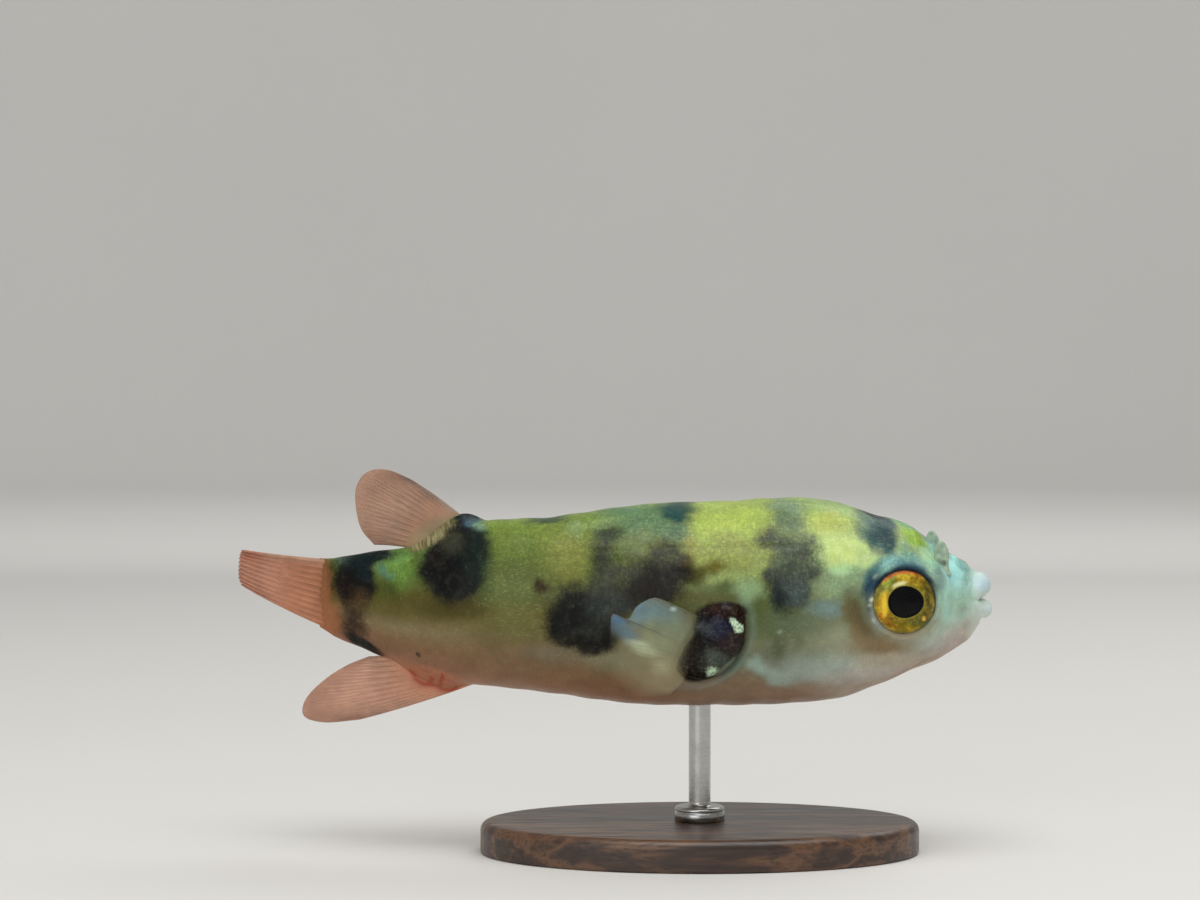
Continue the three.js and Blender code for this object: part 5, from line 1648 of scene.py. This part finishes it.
def steel_material():
    """Turned steel: fine lines round the rod and a slightly uneven polish."""
    material, tree, shader = new_material("turned steel")
    where = place(tree)
    lines, cloud = stretched_noise(tree, where, (60, 60, 9000), 2.0), noise(tree, where, 400)
    tint = ramp(tree, cloud, [(0.3, colour(168, 168, 166)), (0.7, colour(200, 200, 198))])
    polish = weighted(tree, (lines, 0.5), (cloud, 0.5))
    set_shader(shader, Metallic=1.0)
    finish_surface(
        tree, shader, lines, 0.006, Base_Color=tint, Roughness=remap(tree, polish, 0.35, 0.65, 0.2, 0.36)
    )
    return material


# ---------- Studio ----------

def make_backdrop():
    """A pale round floor that curves up into a low wall all round: a profile turned about the
    upright axis through the model."""
    floor, bend, height = 0.8, 0.35, 1.0
    arc = np.linspace(0, np.pi / 2, 24)
    profile = [(floor + bend * math.sin(a), bend * (1 - math.cos(a))) for a in arc]
    rings = turned_points([(0.05, 0.0), *profile, (floor + bend, height)], full_turn(128))
    quads, fans = ring_faces(*rings.shape[:2])
    points = np.concatenate([rings.reshape(-1, 3), [(0, 0, 0)]])
    floor_fan = fans[:rings.shape[1]]
    mesh = bpy.data.meshes.new("backdrop")
    mesh.from_pydata(points.tolist(), [], quads[:, ::-1].tolist() + floor_fan[:, ::-1].tolist())
    mesh.shade_smooth()
    material, tree, shader = new_material("pale paper")
    paper = [(0.3, colour(226, 224, 220)), (0.7, colour(230, 228, 224))]
    tint = ramp(tree, noise(tree, place(tree), 3.0), paper)
    plug_in(tree, shader.inputs["Base Color"], tint)
    set_shader(shader, Roughness=0.85)
    mesh.materials.append(material)
    backdrop = bpy.data.objects.new("backdrop", mesh)
    bpy.context.scene.collection.objects.link(backdrop)


def add_light(name, at, size, watts, tint, aim=(0, 0, 0.025)):
    """A soft oblong lamp at a place, turned to face its aim."""
    lamp = bpy.data.lights.new(name, "AREA")
    lamp.shape = "RECTANGLE"
    lamp.size, lamp.size_y = size
    lamp.energy = watts
    lamp.color = tint
    made = bpy.data.objects.new(name, lamp)
    made.location = at
    made.rotation_euler = (Vector(aim) - Vector(at)).to_track_quat("-Z", "Y").to_euler()
    bpy.context.scene.collection.objects.link(made)


def make_studio():
    """Soft light from above, a weaker fill from the viewer's side, and an even pale world."""
    add_light("overhead softbox", (0.05, -0.16, 0.52), (0.5, 0.36), 1.9, (1.0, 0.99, 0.97))
    add_light("front fill", (-0.32, -0.62, 0.22), (0.5, 0.4), 1.0, (0.97, 0.99, 1.0))
    add_light("back rim", (0.25, 0.3, 0.42), (0.4, 0.2), 0.5, (1.0, 1.0, 1.0))
    add_light("backdrop wash", (0, 0.35, 0.35), (0.8, 0.4), 1.1, (1.0, 1.0, 1.0), aim=(0, 1.1, 0.4))
    world = bpy.data.worlds.new("even studio")
    world.use_nodes = True
    background = world.node_tree.nodes["Background"]
    background.inputs["Color"].default_value = (0.94, 0.97, 1.0, 1)
    background.inputs["Strength"].default_value = 0.36
    scene = bpy.context.scene
    scene.world = world
    scene.view_settings.view_transform = "Standard"


def make_camera():
    """Level with the fish's eye and a little above, looking two degrees down from its right."""
    lens = bpy.data.cameras.new("camera")
    lens.sensor_width = 36.0
    lens.lens = 99.9
    camera = bpy.data.objects.new("camera", lens)
    camera.location = (-0.010, -0.3328, 0.052)
    camera.rotation_euler = (math.radians(88), 0, 0)
    bpy.context.scene.collection.objects.link(camera)
    bpy.context.scene.camera = camera


# ---------- Assembly ----------

def make_skin():
    """One skin over head, trunk, tail, lips and pectoral lobes."""
    grid, on_muzzle = skin_grid()
    shaped = shaped_skin(grid)
    points = with_poles(shaped, shaped[0].mean(0), MOUTH_POLE)
    fields = skin_fields(points, np.append(on_muzzle.ravel(), [0, on_muzzle.max()]))
    make_piece(
        "skin", swung(points), ring_faces(*shaped.shape[:2]), fields, skin_material(),
        ["head", "trunk", "tail", "upper_lip", "lower_lip", "pectoral_base_left", "pectoral_base_right"],
    )


make_camera()
make_studio()
make_backdrop()
make_skin()
make_nasal_flaps()
make_eyes()
make_fins()
make_base()
make_rod()
